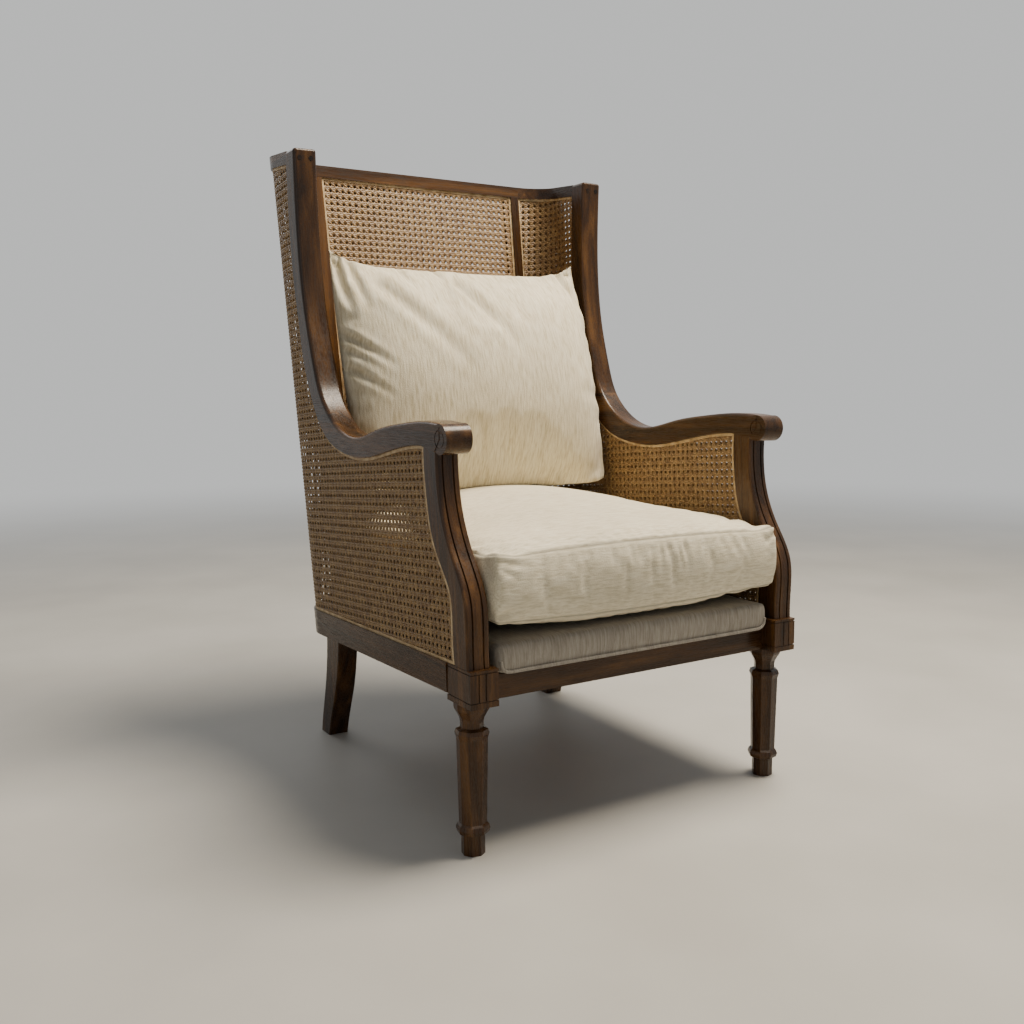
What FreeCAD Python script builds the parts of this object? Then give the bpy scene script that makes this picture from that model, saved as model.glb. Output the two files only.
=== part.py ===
import FreeCAD, Part
import math
import os
import re

# Caned wing armchair in dark hardwood, with an upholstered deck, a loose seat cushion and a loose back cushion.
# Millimetres, +Z up, the sitter faces -Y, and the floor is z = 0. The chair is the same left and right
# about x = 0, and its pieces are laid out from the plane y = 0, about the middle of the arms. Each piece is then
# moved along y by one common shift, which puts the origin under the middle of the chair.

os.makedirs("parts", exist_ok=True)
doc = FreeCAD.newDocument("CanedWingArmchair")
Vector = FreeCAD.Vector
Rotation = FreeCAD.Rotation
Placement = FreeCAD.Placement
AXIS_X = Vector(1, 0, 0)
AXIS_Y = Vector(0, 1, 0)
AXIS_Z = Vector(0, 0, 1)

# Driving dimensions: lengths in mm, and angles in degrees where the name ends in _degrees.
DRIVING_SIZES = (
    # Overall: heights from the floor, half spacing of the side planes at the lean datum, depths from y = 0.
    ("wing_height", 1070),
    ("side_half", 290),
    ("lean_datum", 300),
    ("side_lean_degrees", 1.1),
    ("back_rake_degrees", 8.1),
    ("post_front", 335),
    ("side_depth", 600),
    # Front leg and its square block.
    ("leg_height", 222),
    ("leg_toe_degrees", 12),
    ("leg_foot_wide", 31.5),
    ("leg_ring_wide", 46),
    ("leg_ring_thick", 11),
    ("leg_low_ring", 38),
    ("leg_high_ring_drop", 45),
    ("leg_shaft_low_wide", 37),
    ("leg_shaft_high_wide", 41.5),
    ("leg_neck_wide", 31),
    ("leg_neck_drop", 29),
    ("leg_cap_wide", 47.5),
    ("leg_cap_thick", 11),
    ("leg_axis_in", 2.5),
    ("leg_axis_back", 8.5),
    ("block_height", 53),
    ("block_wide", 45),
    ("block_deep", 67),
    ("block_set_in", 4.5),
    ("block_forward", 8),
    ("incised_wide", 1.6),
    ("incised_deep", 1.2),
    ("incised_edge_low", 8),
    ("incised_edge_high", 3.5),
    # Side members: arm post, arm with elbow and roll, wing stile.
    ("post_thick", 36),
    ("member_thick", 42),
    ("bead_half", 7),
    ("bead_groove_wide", 2.6),
    ("bead_groove_deep", 2.4),
    ("post_edge_round", 3.5),
    ("member_edge_round", 6),
    ("cane_edge_round", 1.2),
    ("stile_top_round", 5),
    ("roll_length", 40.6),
    ("roundel_set_in", 8.3),
    ("peg_radius", 4),
    ("peg_depth", 8),
    ("peg_spread", 10),
    ("peg_drop", 16),
    ("peg_clearance", 0.05),
    # Shell: the wall that turns from each side into the back.
    ("shell_inset", 0.7),
    ("shell_thick", 40),
    ("corner_radius", 95),
    ("corner_back", 224.5),
    ("seat_rail_height", 43),
    ("seat_rail_fall_degrees", 1.72),
    ("wing_rail_height", 22),
    ("wing_rail_rise_degrees", 4.85),
    ("back_post_wide", 18),
    # Double cane: one sheet near each face of the shell, held all round by a reed spline.
    ("cane_depth", 4),
    ("cane_thick", 1.2),
    ("reed_wide", 4.5),
    ("reed_depth", 2.8),
    ("reed_thick", 2.8),
    # Rear leg, bowed backward.
    ("rear_leg_thick", 38),
    ("rear_leg_set_in", 42.3),
    ("rear_leg_top_front", 224),
    ("rear_leg_top_deep", 60),
    ("rear_leg_foot_front", 284),
    ("rear_leg_foot_deep", 41),
    ("rear_leg_edge_round", 3),
    # Seat frame: front rail, braces, cleats, board.
    ("front_rail_thick", 25),
    ("front_rail_height", 35),
    ("front_rail_set_back", 30),
    ("board_thick", 9),
    ("board_side_gap", 1),
    ("cleat_thick", 18),
    ("cleat_height", 14),
    ("cleat_front_gap", 40),
    ("cleat_rear_gap", 3),
    ("brace_long", 70),
    ("brace_thick", 32),
    ("left_brace_drop", 9),
    # Upholstered deck and its piping.
    ("pad_side_gap", 12.3),
    ("pad_set_back", 7),
    ("pad_rear_gap", 67.5),
    ("pad_height", 43),
    ("pad_crown", 5),
    ("pad_belly", 3),
    ("pad_bulge", 4),
    ("piping_radius", 2.6),
    # Loose seat cushion.
    ("soft_gap", 0.3),
    ("cushion_side_gap", 5.3),
    ("cushion_set_back", 9),
    ("cushion_rear_gap", 17.5),
    ("cushion_boxing", 92),
    ("cushion_belly", 26),
    ("cushion_bulge", 4),
    ("cushion_crown", 42),
    # Loose back cushion.
    ("pillow_lean_degrees", 16.2),
    ("pillow_side_gap", 4.3),
    ("pillow_tall", 425),
    ("pillow_front_swell", 88),
    ("pillow_rear_swell", 150),
    ("pillow_ear", 36),
    ("pillow_foot_gap", 167.5),
    # One overrun for all cuts.
    ("overrun", 30),
)

sheet = doc.addObject("Spreadsheet::Sheet", "Sizes")
for row, (alias, value) in enumerate(DRIVING_SIZES, start=1):
    sheet.set(f"A{row}", alias)
    sheet.set(f"B{row}", str(value))
    sheet.setAlias(f"B{row}", alias)
doc.recompute()


def size(alias):
    """The number in the sheet's cell of that name."""
    return float(sheet.get(alias))


def bind(feature, links):
    """Binds properties of a feature to expressions written in the sheet's names."""
    for property_name, expression in links.items():
        feature.setExpression(property_name, re.sub(r"[a-z_]{4,}", r"Sizes.\g<0>", expression))


# Levels and depths that several pieces share, worked out from the driving dimensions.
SIDE_LEAN = math.tan(math.radians(size("side_lean_degrees")))
BACK_RAKE = math.tan(math.radians(size("back_rake_degrees")))
SEAT_RAIL_FALL = math.tan(math.radians(size("seat_rail_fall_degrees")))
WING_RAIL_RISE = math.tan(math.radians(size("wing_rail_rise_degrees")))
BLOCK_TOP = size("leg_height") + size("block_height")
POST_FRONT_Y = -size("post_front")
BLOCK_FRONT_Y = POST_FRONT_Y - size("block_forward")
BLOCK_REAR_Y = BLOCK_FRONT_Y + size("block_deep")
STILE_REAR_Y = POST_FRONT_Y + size("side_depth")
POST_FOOT_Z = BLOCK_TOP + SIDE_LEAN * size("post_thick") / 2
SHELL_HALF = size("side_half") + size("member_thick") / 2 - size("shell_inset")
OVERRUN = size("overrun")
SIDES = (("left", -1), ("right", 1))


def seat_rail_top(y):
    return BLOCK_TOP - SEAT_RAIL_FALL * (y - BLOCK_REAR_Y)


def seat_rail_bottom(y):
    return seat_rail_top(y) - size("seat_rail_height")


def wing_rail_top(y):
    return size("wing_height") + WING_RAIL_RISE * (y - STILE_REAR_Y)


def wing_rail_bottom(y):
    return wing_rail_top(y) - size("wing_rail_height")


def corner_x(z):
    """Distance from the middle to the centre of a rear corner's bend, at height z."""
    return SHELL_HALF - size("corner_radius") + SIDE_LEAN * (z - size("lean_datum"))


def corner_y(z):
    """Depth of the centre of a rear corner's bend, at height z."""
    return size("corner_back") + BACK_RAKE * (z - size("lean_datum"))


def level_where(height_at, depth_in):
    """Level where a sloping rail edge meets the raked back, depth_in from its outer face."""
    z = height_at(0)
    for _ in range(20):
        z = height_at(corner_y(z) + size("corner_radius") - depth_in)
    return z


BACK_TOP_Z = level_where(wing_rail_top, 0)
REARMOST_Y = corner_y(BACK_TOP_Z) + size("corner_radius")
SHIFT = Vector(0, -(BLOCK_FRONT_Y + REARMOST_Y) / 2, 0)
PLAIN = Placement(SHIFT, Rotation())


def leaned(sign):
    """Placement of a side member that was drawn about the plane x = 0."""
    lean = Rotation(AXIS_Y, sign * size("side_lean_degrees"))
    move = SHIFT + Vector(sign * size("side_half"), 0, 0)
    return Placement(move, lean, Vector(0, 0, size("lean_datum")))


# Outlines of the side members, as shares of the side's depth and of the height from block to wing top.
POST_FRONT_SHARES = ((0, 0), (0, 0.082), (0.008, 0.126), (0.028, 0.157), (0.065, 0.199),
                     (0.107, 0.270), (0.117, 0.308), (0.12, 0.370))
POST_REAR_SHARES = ((0.062, 0), (0.067, 0.081), (0.077, 0.130), (0.108, 0.164), (0.155, 0.219),
                    (0.176, 0.283), (0.184, 0.333), (0.185, 0.379))
ROLL_CENTRE_SHARE = (0.094, 0.3925)
ROLL_RADIUS_SHARE = 0.0268
ARM_TOP_SHARES = ((0.18, 0.423), (0.30, 0.417), (0.443, 0.403), (0.587, 0.3845), (0.70, 0.402), (0.775, 0.438))
JOINT_FRONT_SHARE = (0.812, 0.467)
STILE_FRONT_SHARES = ((0.858, 0.541), (0.900, 0.641), (0.925, 0.745), (0.935, 0.870), (0.933, 1))
ARM_UNDER_SHARES = ((0.185, 0.379), (0.30, 0.372), (0.42, 0.3555), (0.55, 0.343), (0.66, 0.3485),
                    (0.767, 0.371), (0.842, 0.414))
JOINT_REAR_SHARE = (0.883, 0.459)
STILE_REAR_SHARES = ((0.928, 0.527), (0.958, 0.618), (0.985, 0.720), (0.998, 0.820), (1, 1))


def side_point(share):
    """Point of the side's profile, drawn flat: x is the chair's y, and y is the height."""
    y = POST_FRONT_Y + share[0] * size("side_depth")
    z = POST_FOOT_Z + share[1] * (size("wing_height") - POST_FOOT_Z)
    return Vector(y, z, 0)


def smooth(points):
    curve = Part.BSplineCurve()
    curve.interpolate(points)
    return curve


def moved_right(points, distance):
    """The points of a smooth curve, moved square to it, to the right of its run."""
    curve = smooth(points)
    moved = []
    for point in points:
        along = curve.tangent(curve.parameter(point))[0]
        moved.append(point + Vector(along.y, -along.x, 0) * distance)
    return moved


def cut_short(curve, start, end):
    part = curve.copy()
    part.segment(curve.parameter(start), curve.parameter(end))
    return part


def line(start, end):
    return Part.LineSegment(start, end)


ROLL_CENTRE = side_point(ROLL_CENTRE_SHARE)
ROLL_RADIUS = ROLL_RADIUS_SHARE * (size("wing_height") - POST_FOOT_Z)
ROLL_TOP = ROLL_CENTRE + Vector(0, ROLL_RADIUS, 0)
JOINT_FRONT = side_point(JOINT_FRONT_SHARE)
JOINT_REAR = side_point(JOINT_REAR_SHARE)
POST_FRONT_LINE = [side_point(share) for share in POST_FRONT_SHARES]
POST_REAR_LINE = [side_point(share) for share in POST_REAR_SHARES]
TOP_LINE = [ROLL_TOP] + [side_point(share) for share in ARM_TOP_SHARES + (JOINT_FRONT_SHARE,) + STILE_FRONT_SHARES]
UNDER_LINE = [side_point(share) for share in ARM_UNDER_SHARES + (JOINT_REAR_SHARE,) + STILE_REAR_SHARES]
TOP_CURVE = smooth(TOP_LINE)
UNDER_CURVE = smooth(UNDER_LINE)
UNDER_START = UNDER_LINE[0]
STILE_FRONT_TOP = TOP_LINE[-1]
STILE_REAR_TOP = UNDER_LINE[-1]


def new_body(label):
    body = doc.addObject("PartDesign::Body", label)
    body.Label = label
    return body


def sketch_on(body, role, name, lift=0):
    """An empty sketch on one of the body's own origin planes, lifted along that plane's normal."""
    plane = [item for item in body.Origin.OriginFeatures if item.Role == role][0]
    sketch = body.newObject("Sketcher::SketchObject", name)
    sketch.AttachmentSupport = [(plane, "")]
    sketch.MapMode = "FlatFace"
    sketch.AttachmentOffset = Placement(Vector(0, 0, lift), Rotation())
    return sketch


def draw(sketch, pieces):
    for piece in pieces:
        sketch.addGeometry(piece, False)


def centred_pad(body, sketch, name, length_alias):
    pad = body.newObject("PartDesign::Pad", name)
    pad.Profile = sketch
    pad.SideType = "Symmetric"
    bind(pad, {"Length": length_alias})
    doc.recompute()
    return pad


def pocket_upward(body, sketch, name, length_alias):
    """A pocket from a lifted sketch, cut along the plane's own normal."""
    pocket = body.newObject("PartDesign::Pocket", name)
    pocket.Profile = sketch
    pocket.Reversed = True
    bind(pocket, {"Length": length_alias})
    doc.recompute()
    return pocket


def edges_beside(shape, curve, half):
    """Names of the edges that follow a flat curve on the two faces of a member, half from its middle."""
    names = []
    for number, edge in enumerate(shape.Edges, start=1):
        middle = edge.valueAt((edge.FirstParameter + edge.LastParameter) / 2)
        spot = Vector(middle.y, middle.z, 0)
        near = curve.value(curve.parameter(spot)).distanceToPoint(spot) < size("cane_thick") / 10
        on_face = abs(abs(edge.BoundBox.XMin) - half) < size("cane_thick") / 10
        if near and on_face and edge.BoundBox.XLength < size("cane_thick"):
            names.append(f"Edge{number}")
    return names


def round_edges(body, name, names, radius_alias):
    rounded = body.Tip
    fillet = body.newObject("PartDesign::Fillet", name)
    fillet.Base = (rounded, names)
    bind(fillet, {"Radius": radius_alias})
    doc.recompute()
    return fillet


def make_arm_post(side, sign):
    """S-curved post between block and arm, with a raised bead down its front."""
    body = new_body(f"arm_post_{side}")
    front = smooth(POST_FRONT_LINE)
    rear = smooth(POST_REAR_LINE)
    sketch = sketch_on(body, "YZ_Plane", f"post_outline_{side}")
    draw(sketch, (front, rear, line(POST_FRONT_LINE[-1], POST_REAR_LINE[-1]),
                  line(POST_FRONT_LINE[0], POST_REAR_LINE[0])))
    centred_pad(body, sketch, f"post_blank_{side}", "post_thick")
    half = size("post_thick") / 2
    round_edges(body, f"post_front_round_{side}", edges_beside(body.Shape, front, half), "post_edge_round")
    round_edges(body, f"post_rear_round_{side}", edges_beside(body.Shape, rear, half), "cane_edge_round")
    groove_line = moved_right(POST_FRONT_LINE, size("bead_groove_deep"))
    ahead = Vector(-OVERRUN, 0, 0)
    for name, lift in (("inner", size("bead_half")), ("outer", -size("bead_half") - size("bead_groove_wide"))):
        groove = sketch_on(body, "YZ_Plane", f"bead_groove_{name}_outline_{side}", lift)
        top = groove_line[-1] + Vector(0, size("bead_groove_deep"), 0)
        foot = groove_line[0] - Vector(0, size("bead_groove_deep"), 0)
        draw(groove, (smooth(groove_line), line(groove_line[-1], top), line(top, top + ahead),
                      line(top + ahead, foot + ahead), line(foot + ahead, foot), line(foot, groove_line[0])))
        pocket_upward(body, groove, f"bead_groove_{name}_{side}", "bead_groove_wide")
    body.Placement = leaned(sign)
    return body


def make_arm(side, sign):
    """Arm in one piece from the roll in front to the joint above the elbow."""
    body = new_body(f"arm_{side}")
    top = cut_short(TOP_CURVE, ROLL_TOP, JOINT_FRONT)
    under = cut_short(UNDER_CURVE, UNDER_START, JOINT_REAR)
    post_front_top = POST_FRONT_LINE[-1]
    sketch = sketch_on(body, "YZ_Plane", f"arm_outline_{side}")
    draw(sketch, (top, under, line(JOINT_FRONT, JOINT_REAR), line(UNDER_START, post_front_top),
                  line(post_front_top, ROLL_CENTRE), line(ROLL_CENTRE, ROLL_TOP)))
    centred_pad(body, sketch, f"arm_blank_{side}", "member_thick")
    half = size("member_thick") / 2
    round_edges(body, f"arm_top_round_{side}", edges_beside(body.Shape, top, half), "member_edge_round")
    round_edges(body, f"arm_under_round_{side}", edges_beside(body.Shape, under, half), "cane_edge_round")
    roll = sketch_on(body, "YZ_Plane", f"roll_outline_{side}")
    draw(roll, (Part.Circle(ROLL_CENTRE, AXIS_Z, ROLL_RADIUS),))
    centred_pad(body, roll, f"roll_{side}", "roll_length")
    for name, lift in (("outer", size("roll_length") / 2 - size("incised_deep")),
                       ("inner", -size("member_thick") / 2 - OVERRUN + size("incised_deep"))):
        ring = sketch_on(body, "YZ_Plane", f"roundel_{name}_outline_{side}", lift)
        radius = ROLL_RADIUS - size("roundel_set_in")
        draw(ring, (Part.Circle(ROLL_CENTRE, AXIS_Z, radius),
                    Part.Circle(ROLL_CENTRE, AXIS_Z, radius - size("incised_wide"))))
        pocket_upward(body, ring, f"roundel_{name}_{side}", "overrun")
    body.Placement = leaned(sign)
    return body


def make_wing_stile(side, sign):
    """Upright above the elbow, with two plugged screw holes near the top of its front."""
    body = new_body(f"wing_stile_{side}")
    front = cut_short(TOP_CURVE, JOINT_FRONT, STILE_FRONT_TOP)
    rear = cut_short(UNDER_CURVE, JOINT_REAR, STILE_REAR_TOP)
    sketch = sketch_on(body, "YZ_Plane", f"stile_outline_{side}")
    draw(sketch, (front, rear, line(JOINT_FRONT, JOINT_REAR), line(STILE_FRONT_TOP, STILE_REAR_TOP)))
    centred_pad(body, sketch, f"stile_blank_{side}", "member_thick")
    half = size("member_thick") / 2
    round_edges(body, f"stile_front_round_{side}", edges_beside(body.Shape, front, half), "member_edge_round")
    round_edges(body, f"stile_rear_round_{side}", edges_beside(body.Shape, rear, half), "cane_edge_round")
    top_z = size("wing_height")
    top_edges = [f"Edge{number}" for number, edge in enumerate(body.Shape.Edges, start=1)
                 if edge.BoundBox.ZMin > top_z - size("cane_thick")]
    round_edges(body, f"stile_top_round_{side}", top_edges, "stile_top_round")
    for name, across in (("inner", -size("peg_spread")), ("outer", size("peg_spread"))):
        bore = body.newObject("PartDesign::SubtractiveCylinder", f"peg_bore_{name}_{side}")
        bind(bore, {"Radius": "peg_radius + peg_clearance", "Height": "peg_depth + overrun"})
        start = Vector(across, STILE_FRONT_TOP.x - OVERRUN, top_z - size("peg_drop"))
        bore.Placement = Placement(start, Rotation(AXIS_Z, AXIS_Y))
        doc.recompute()
    body.Placement = leaned(sign)
    return body


# Rear leg: how much of its sweep from top to foot it has made, at shares of its height from the floor.
REAR_LEG_SHARES = ((1, 0), (0.86, 0.03), (0.72, 0.10), (0.50, 0.30), (0.28, 0.62), (0.12, 0.86), (0, 1))


def make_rear_leg(side, sign):
    """Rear leg in side view: a slab bowed backward, under the corner of the seat rails."""
    body = new_body(f"rear_leg_{side}")
    top_front = size("rear_leg_top_front")
    top_rear = top_front + size("rear_leg_top_deep")
    foot_front = size("rear_leg_foot_front")
    foot_rear = foot_front + size("rear_leg_foot_deep")
    front_points = []
    rear_points = []
    for level, bow in REAR_LEG_SHARES:
        front_y = top_front + bow * (foot_front - top_front)
        rear_y = top_rear + bow * (foot_rear - top_rear)
        front_points.append(Vector(front_y, level * seat_rail_bottom(top_front), 0))
        rear_points.append(Vector(rear_y, level * seat_rail_bottom(top_rear), 0))
    sketch = sketch_on(body, "YZ_Plane", f"rear_leg_outline_{side}")
    front = smooth(front_points)
    rear = smooth(rear_points)
    draw(sketch, (front, rear, line(front_points[0], rear_points[0]), line(front_points[-1], rear_points[-1])))
    centred_pad(body, sketch, f"rear_leg_blank_{side}", "rear_leg_thick")
    half = size("rear_leg_thick") / 2
    long_edges = edges_beside(body.Shape, front, half) + edges_beside(body.Shape, rear, half)
    round_edges(body, f"rear_leg_round_{side}", long_edges, "rear_leg_edge_round")
    middle = SHELL_HALF - size("rear_leg_set_in") - half
    body.Placement = Placement(SHIFT + Vector(sign * middle, 0, 0), Rotation())
    return body


# Front leg: eight-sided all the way up, through two collars, a neck and a cap. Shares of each collar's width
# and thickness give its bevels, and shares of the rise from neck to block give the cove under the cap.
COLLAR_SHARES = ((-0.5, 0.93), (0, 1), (0.5, 0.93))
COLLAR_SEAT_SHARE = 0.75
COVE_SHARES = ((0.20, 0.12), (0.42, 0.5), (0.62, 0.9))
OCTAGON = 8


def octagon(name, wide, level, axis, turn_degrees):
    """An eight-sided section of the leg, wide across its flats."""
    section = doc.addObject("Part::RegularPolygon", name)
    section.Polygon = OCTAGON
    bind(section, {"Circumradius": f"({wide}) / 2 / cos({180 / OCTAGON} deg)"})
    turn = Rotation(AXIS_Z, turn_degrees + 180 / OCTAGON)
    section.Placement = Placement(Vector(axis.x, axis.y, level), turn)
    return section


def leg_levels():
    """Heights and widths up the leg; each width is an expression in the sheet's names."""
    thick = size("leg_ring_thick")
    low = size("leg_low_ring")
    high = size("leg_height") - size("leg_high_ring_drop")
    neck = size("leg_height") - size("leg_neck_drop")
    cap_foot = size("leg_height") - size("leg_cap_thick")
    levels = [(0, "leg_foot_wide"), (low - COLLAR_SEAT_SHARE * thick, "leg_foot_wide")]
    levels += [(low + step * thick, f"leg_ring_wide * {share}") for step, share in COLLAR_SHARES]
    levels += [(low + COLLAR_SEAT_SHARE * thick, "leg_shaft_low_wide"),
               (high - COLLAR_SEAT_SHARE * thick, "leg_shaft_high_wide")]
    levels += [(high + step * thick, f"leg_ring_wide * {share}") for step, share in COLLAR_SHARES]
    levels += [(high + COLLAR_SEAT_SHARE * thick, "leg_neck_wide"), (neck, "leg_neck_wide")]
    for rise, share in COVE_SHARES:
        level = neck + rise * (size("leg_height") - neck)
        levels.append((level, f"leg_neck_wide + {share} * (leg_cap_wide - leg_neck_wide)"))
    levels += [(cap_foot + size("incised_edge_high"), "leg_cap_wide"), (size("leg_height"), "leg_cap_wide")]
    return levels


def part_box(name, links, corner):
    solid = doc.addObject("Part::Box", name)
    bind(solid, links)
    solid.Placement = Placement(corner, Rotation())
    return solid


def make_front_leg(side, sign):
    """Faceted leg and the square block above it, in one piece, with incised lines on the block."""
    middle = sign * (size("side_half") - size("block_set_in"))
    axis = Vector(middle - sign * size("leg_axis_in"),
                  (BLOCK_FRONT_Y + BLOCK_REAR_Y) / 2 + size("leg_axis_back"), 0)
    turn = sign * size("leg_toe_degrees")
    sections = [octagon(f"leg_section_{number}_{side}", wide, level, axis, turn)
                for number, (level, wide) in enumerate(leg_levels())]
    shaft = doc.addObject("Part::Loft", f"leg_shaft_{side}")
    shaft.Sections = sections
    shaft.Solid = True
    shaft.Ruled = True
    left_x = middle - size("block_wide") / 2
    block_box = {"Length": "block_wide", "Width": "block_deep", "Height": "block_height"}
    block = part_box(f"leg_block_{side}", block_box, Vector(left_x, BLOCK_FRONT_Y, size("leg_height")))
    whole = doc.addObject("Part::MultiFuse", f"leg_whole_{side}")
    whole.Shapes = [shaft, block]
    cutters = []
    deep = size("incised_deep")
    low = size("leg_height") + size("incised_edge_low")
    high = BLOCK_TOP - size("incised_edge_high") - size("incised_wide")
    for name, level in (("low", low), ("high", high)):
        ring_box = {"Length": "block_wide + overrun * 2", "Width": "block_deep + overrun * 2", "Height": "incised_wide"}
        core_box = {"Length": "block_wide - incised_deep * 2", "Width": "block_deep - incised_deep * 2",
                    "Height": "incised_wide"}
        ring = part_box(f"ring_{name}_{side}", ring_box, Vector(left_x - OVERRUN, BLOCK_FRONT_Y - OVERRUN, level))
        core = part_box(f"ring_core_{name}_{side}", core_box, Vector(left_x + deep, BLOCK_FRONT_Y + deep, level))
        line_cut = doc.addObject("Part::Cut", f"ring_cut_{name}_{side}")
        line_cut.Base = ring
        line_cut.Tool = core
        cutters.append(line_cut)
    flute_shares = (0.30, 0.55)
    for number, share in enumerate(flute_shares):
        flute_box = {"Length": "incised_wide", "Width": "incised_deep + overrun",
                     "Height": "block_height - incised_edge_low - incised_edge_high - incised_wide * 2"}
        across = middle + sign * (size("block_wide") / 2 - share * size("block_wide")) - size("incised_wide") / 2
        corner = Vector(across, BLOCK_FRONT_Y - OVERRUN, low + size("incised_wide"))
        cutters.append(part_box(f"flute_{number}_{side}", flute_box, corner))
    cutter = doc.addObject("Part::MultiFuse", f"block_lines_{side}")
    cutter.Shapes = cutters
    leg = doc.addObject("Part::Cut", f"front_leg_{side}")
    leg.Base = whole
    leg.Tool = cutter
    leg.Label = f"front_leg_{side}"
    leg.Placement = PLAIN
    return leg


# The shell: one wall of even thickness that runs back along each side, turns through the rear corner and
# crosses the back. It leans with the sides and rakes with the back, so a plan drawn at the base is extruded
# along one slanting line on each side.
SHELL_BASE_Z = size("leg_height") - OVERRUN
SHELL_TALL = BACK_TOP_Z + OVERRUN - SHELL_BASE_Z
FAR_FRONT_Y = BLOCK_FRONT_Y - OVERRUN


def new_piece(label, shape):
    """A sub-part that is cut from the shell or lofted: its shape first, then its place."""
    piece = doc.addObject("Part::Feature", label)
    piece.Label = label
    own_place = shape.Placement
    piece.Shape = shape
    piece.Placement = PLAIN.multiply(own_place)
    return piece


def side_wall(sign, shallow, deep, end_in=0):
    """The side and corner of the shell between two depths from its outer face, up to end_in of the corner's end."""
    centre_x = corner_x(SHELL_BASE_Z)
    centre_y = corner_y(SHELL_BASE_Z)
    outer = size("corner_radius") - shallow
    inner = size("corner_radius") - deep

    def place(x, y):
        return Vector(sign * x, y, SHELL_BASE_Z)

    def bend(radius):
        last = math.acos(end_in / radius)
        spots = [place(centre_x + radius * math.cos(angle), centre_y + radius * math.sin(angle))
                 for angle in (0, last / 2, last)]
        return spots

    outer_bend = bend(outer)
    inner_bend = bend(inner)
    outer_front = place(centre_x + outer, FAR_FRONT_Y)
    inner_front = place(centre_x + inner, FAR_FRONT_Y)
    rim = [line(outer_front, outer_bend[0]), Part.Arc(*outer_bend), line(outer_bend[2], inner_bend[2]),
           Part.Arc(*inner_bend), line(inner_bend[0], inner_front), line(inner_front, outer_front)]
    face = Part.Face(Part.Wire(Part.__sortEdges__([piece.toShape() for piece in rim])))
    return face.extrude(Vector(sign * SIDE_LEAN, BACK_RAKE, 1) * SHELL_TALL)


def back_wall(start_x, end_x, shallow, deep):
    """A stretch of the back between two depths; start_x and end_x give its ends at a height."""
    rims = []
    for z in (SHELL_BASE_Z, SHELL_BASE_Z + SHELL_TALL):
        outer_y = corner_y(z) + size("corner_radius") - shallow
        inner_y = corner_y(z) + size("corner_radius") - deep
        spots = [Vector(start_x(z), inner_y, z), Vector(end_x(z), inner_y, z),
                 Vector(end_x(z), outer_y, z), Vector(start_x(z), outer_y, z)]
        rims.append(Part.makePolygon(spots + spots[:1]))
    return Part.makeLoft(rims, True, True)


def across(points):
    """A prism that crosses the whole chair, from an outline in (y, z)."""
    half = SHELL_HALF + size("corner_radius")
    face = Part.Face(Part.makePolygon([Vector(-half, y, z) for y, z in points + points[:1]]))
    return face.extrude(Vector(half * 2, 0, 0))


def band(low, high, start_y, inset=0):
    """The space between two sloping lines, less an inset at both, from start_y back past the shell."""
    end_y = REARMOST_Y + OVERRUN
    return across([(start_y, low(start_y) + inset), (end_y, low(end_y) + inset),
                   (end_y, high(end_y) - inset), (start_y, high(start_y) - inset)])


def seat_rail_band():
    return band(seat_rail_bottom, seat_rail_top, BLOCK_REAR_Y)


def wing_rail_band():
    return band(wing_rail_bottom, wing_rail_top, 0)


def cane_band(inset):
    return band(seat_rail_top, wing_rail_bottom, FAR_FRONT_Y, inset)


def leaned_prism(sign, curve_points, corners):
    """Prism over a smooth line closed by straight ones, drawn flat, stood up and leaned with the side."""
    curve = smooth(curve_points)
    stops = [curve_points[-1]] + corners + [curve_points[0]]
    edges = [curve.toShape()] + [line(start, end).toShape() for start, end in zip(stops, stops[1:])]
    face = Part.Face(Part.Wire(Part.__sortEdges__(edges)))
    half = size("corner_radius") + size("member_thick")
    face.translate(Vector(0, 0, -half))
    prism = face.extrude(Vector(0, 0, half * 2))
    prism.Placement = Placement(Vector(), Rotation(Vector(1, 1, 1), 120)).multiply(prism.Placement)
    lean = Rotation(AXIS_Y, sign * size("side_lean_degrees"))
    place = Placement(Vector(sign * size("side_half"), 0, 0), lean, Vector(0, 0, size("lean_datum")))
    prism.Placement = place.multiply(prism.Placement)
    return prism


def members_in_front(sign, inset):
    """Everything in front of and above the cane edge of post, arm and stile, grown by inset."""
    rear = moved_right(POST_REAR_LINE, inset)
    under = moved_right(UNDER_LINE, inset)
    foot_z = BLOCK_TOP - OVERRUN
    crown_z = size("wing_height") + OVERRUN
    post_corners = [Vector(rear[-1].x, rear[-1].y + OVERRUN, 0), Vector(FAR_FRONT_Y, rear[-1].y + OVERRUN, 0),
                    Vector(FAR_FRONT_Y, foot_z, 0), Vector(rear[0].x, foot_z, 0)]
    arm_corners = [Vector(under[-1].x, crown_z, 0), Vector(FAR_FRONT_Y, crown_z, 0),
                   Vector(FAR_FRONT_Y, under[0].y, 0)]
    return [leaned_prism(sign, rear, post_corners), leaned_prism(sign, under, arm_corners)]


def side_opening(sign, shallow, deep, inset):
    """What fills the caned opening of one side, between two depths and less an inset all round."""
    wall = side_wall(sign, shallow, deep, inset).common(cane_band(inset))
    return wall.cut(members_in_front(sign, inset))


def back_opening(shallow, deep, inset):
    """What fills the caned opening of the back."""
    def reach(z):
        return corner_x(z) - size("back_post_wide") - inset
    wall = back_wall(lambda z: -reach(z), reach, shallow, deep)
    return wall.common(cane_band(inset))


def only_solid(shape):
    """The one solid in the result of a boolean."""
    solids = shape.Solids
    assert len(solids) == 1, f"{len(solids)} solids"
    return solids[0]


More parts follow.
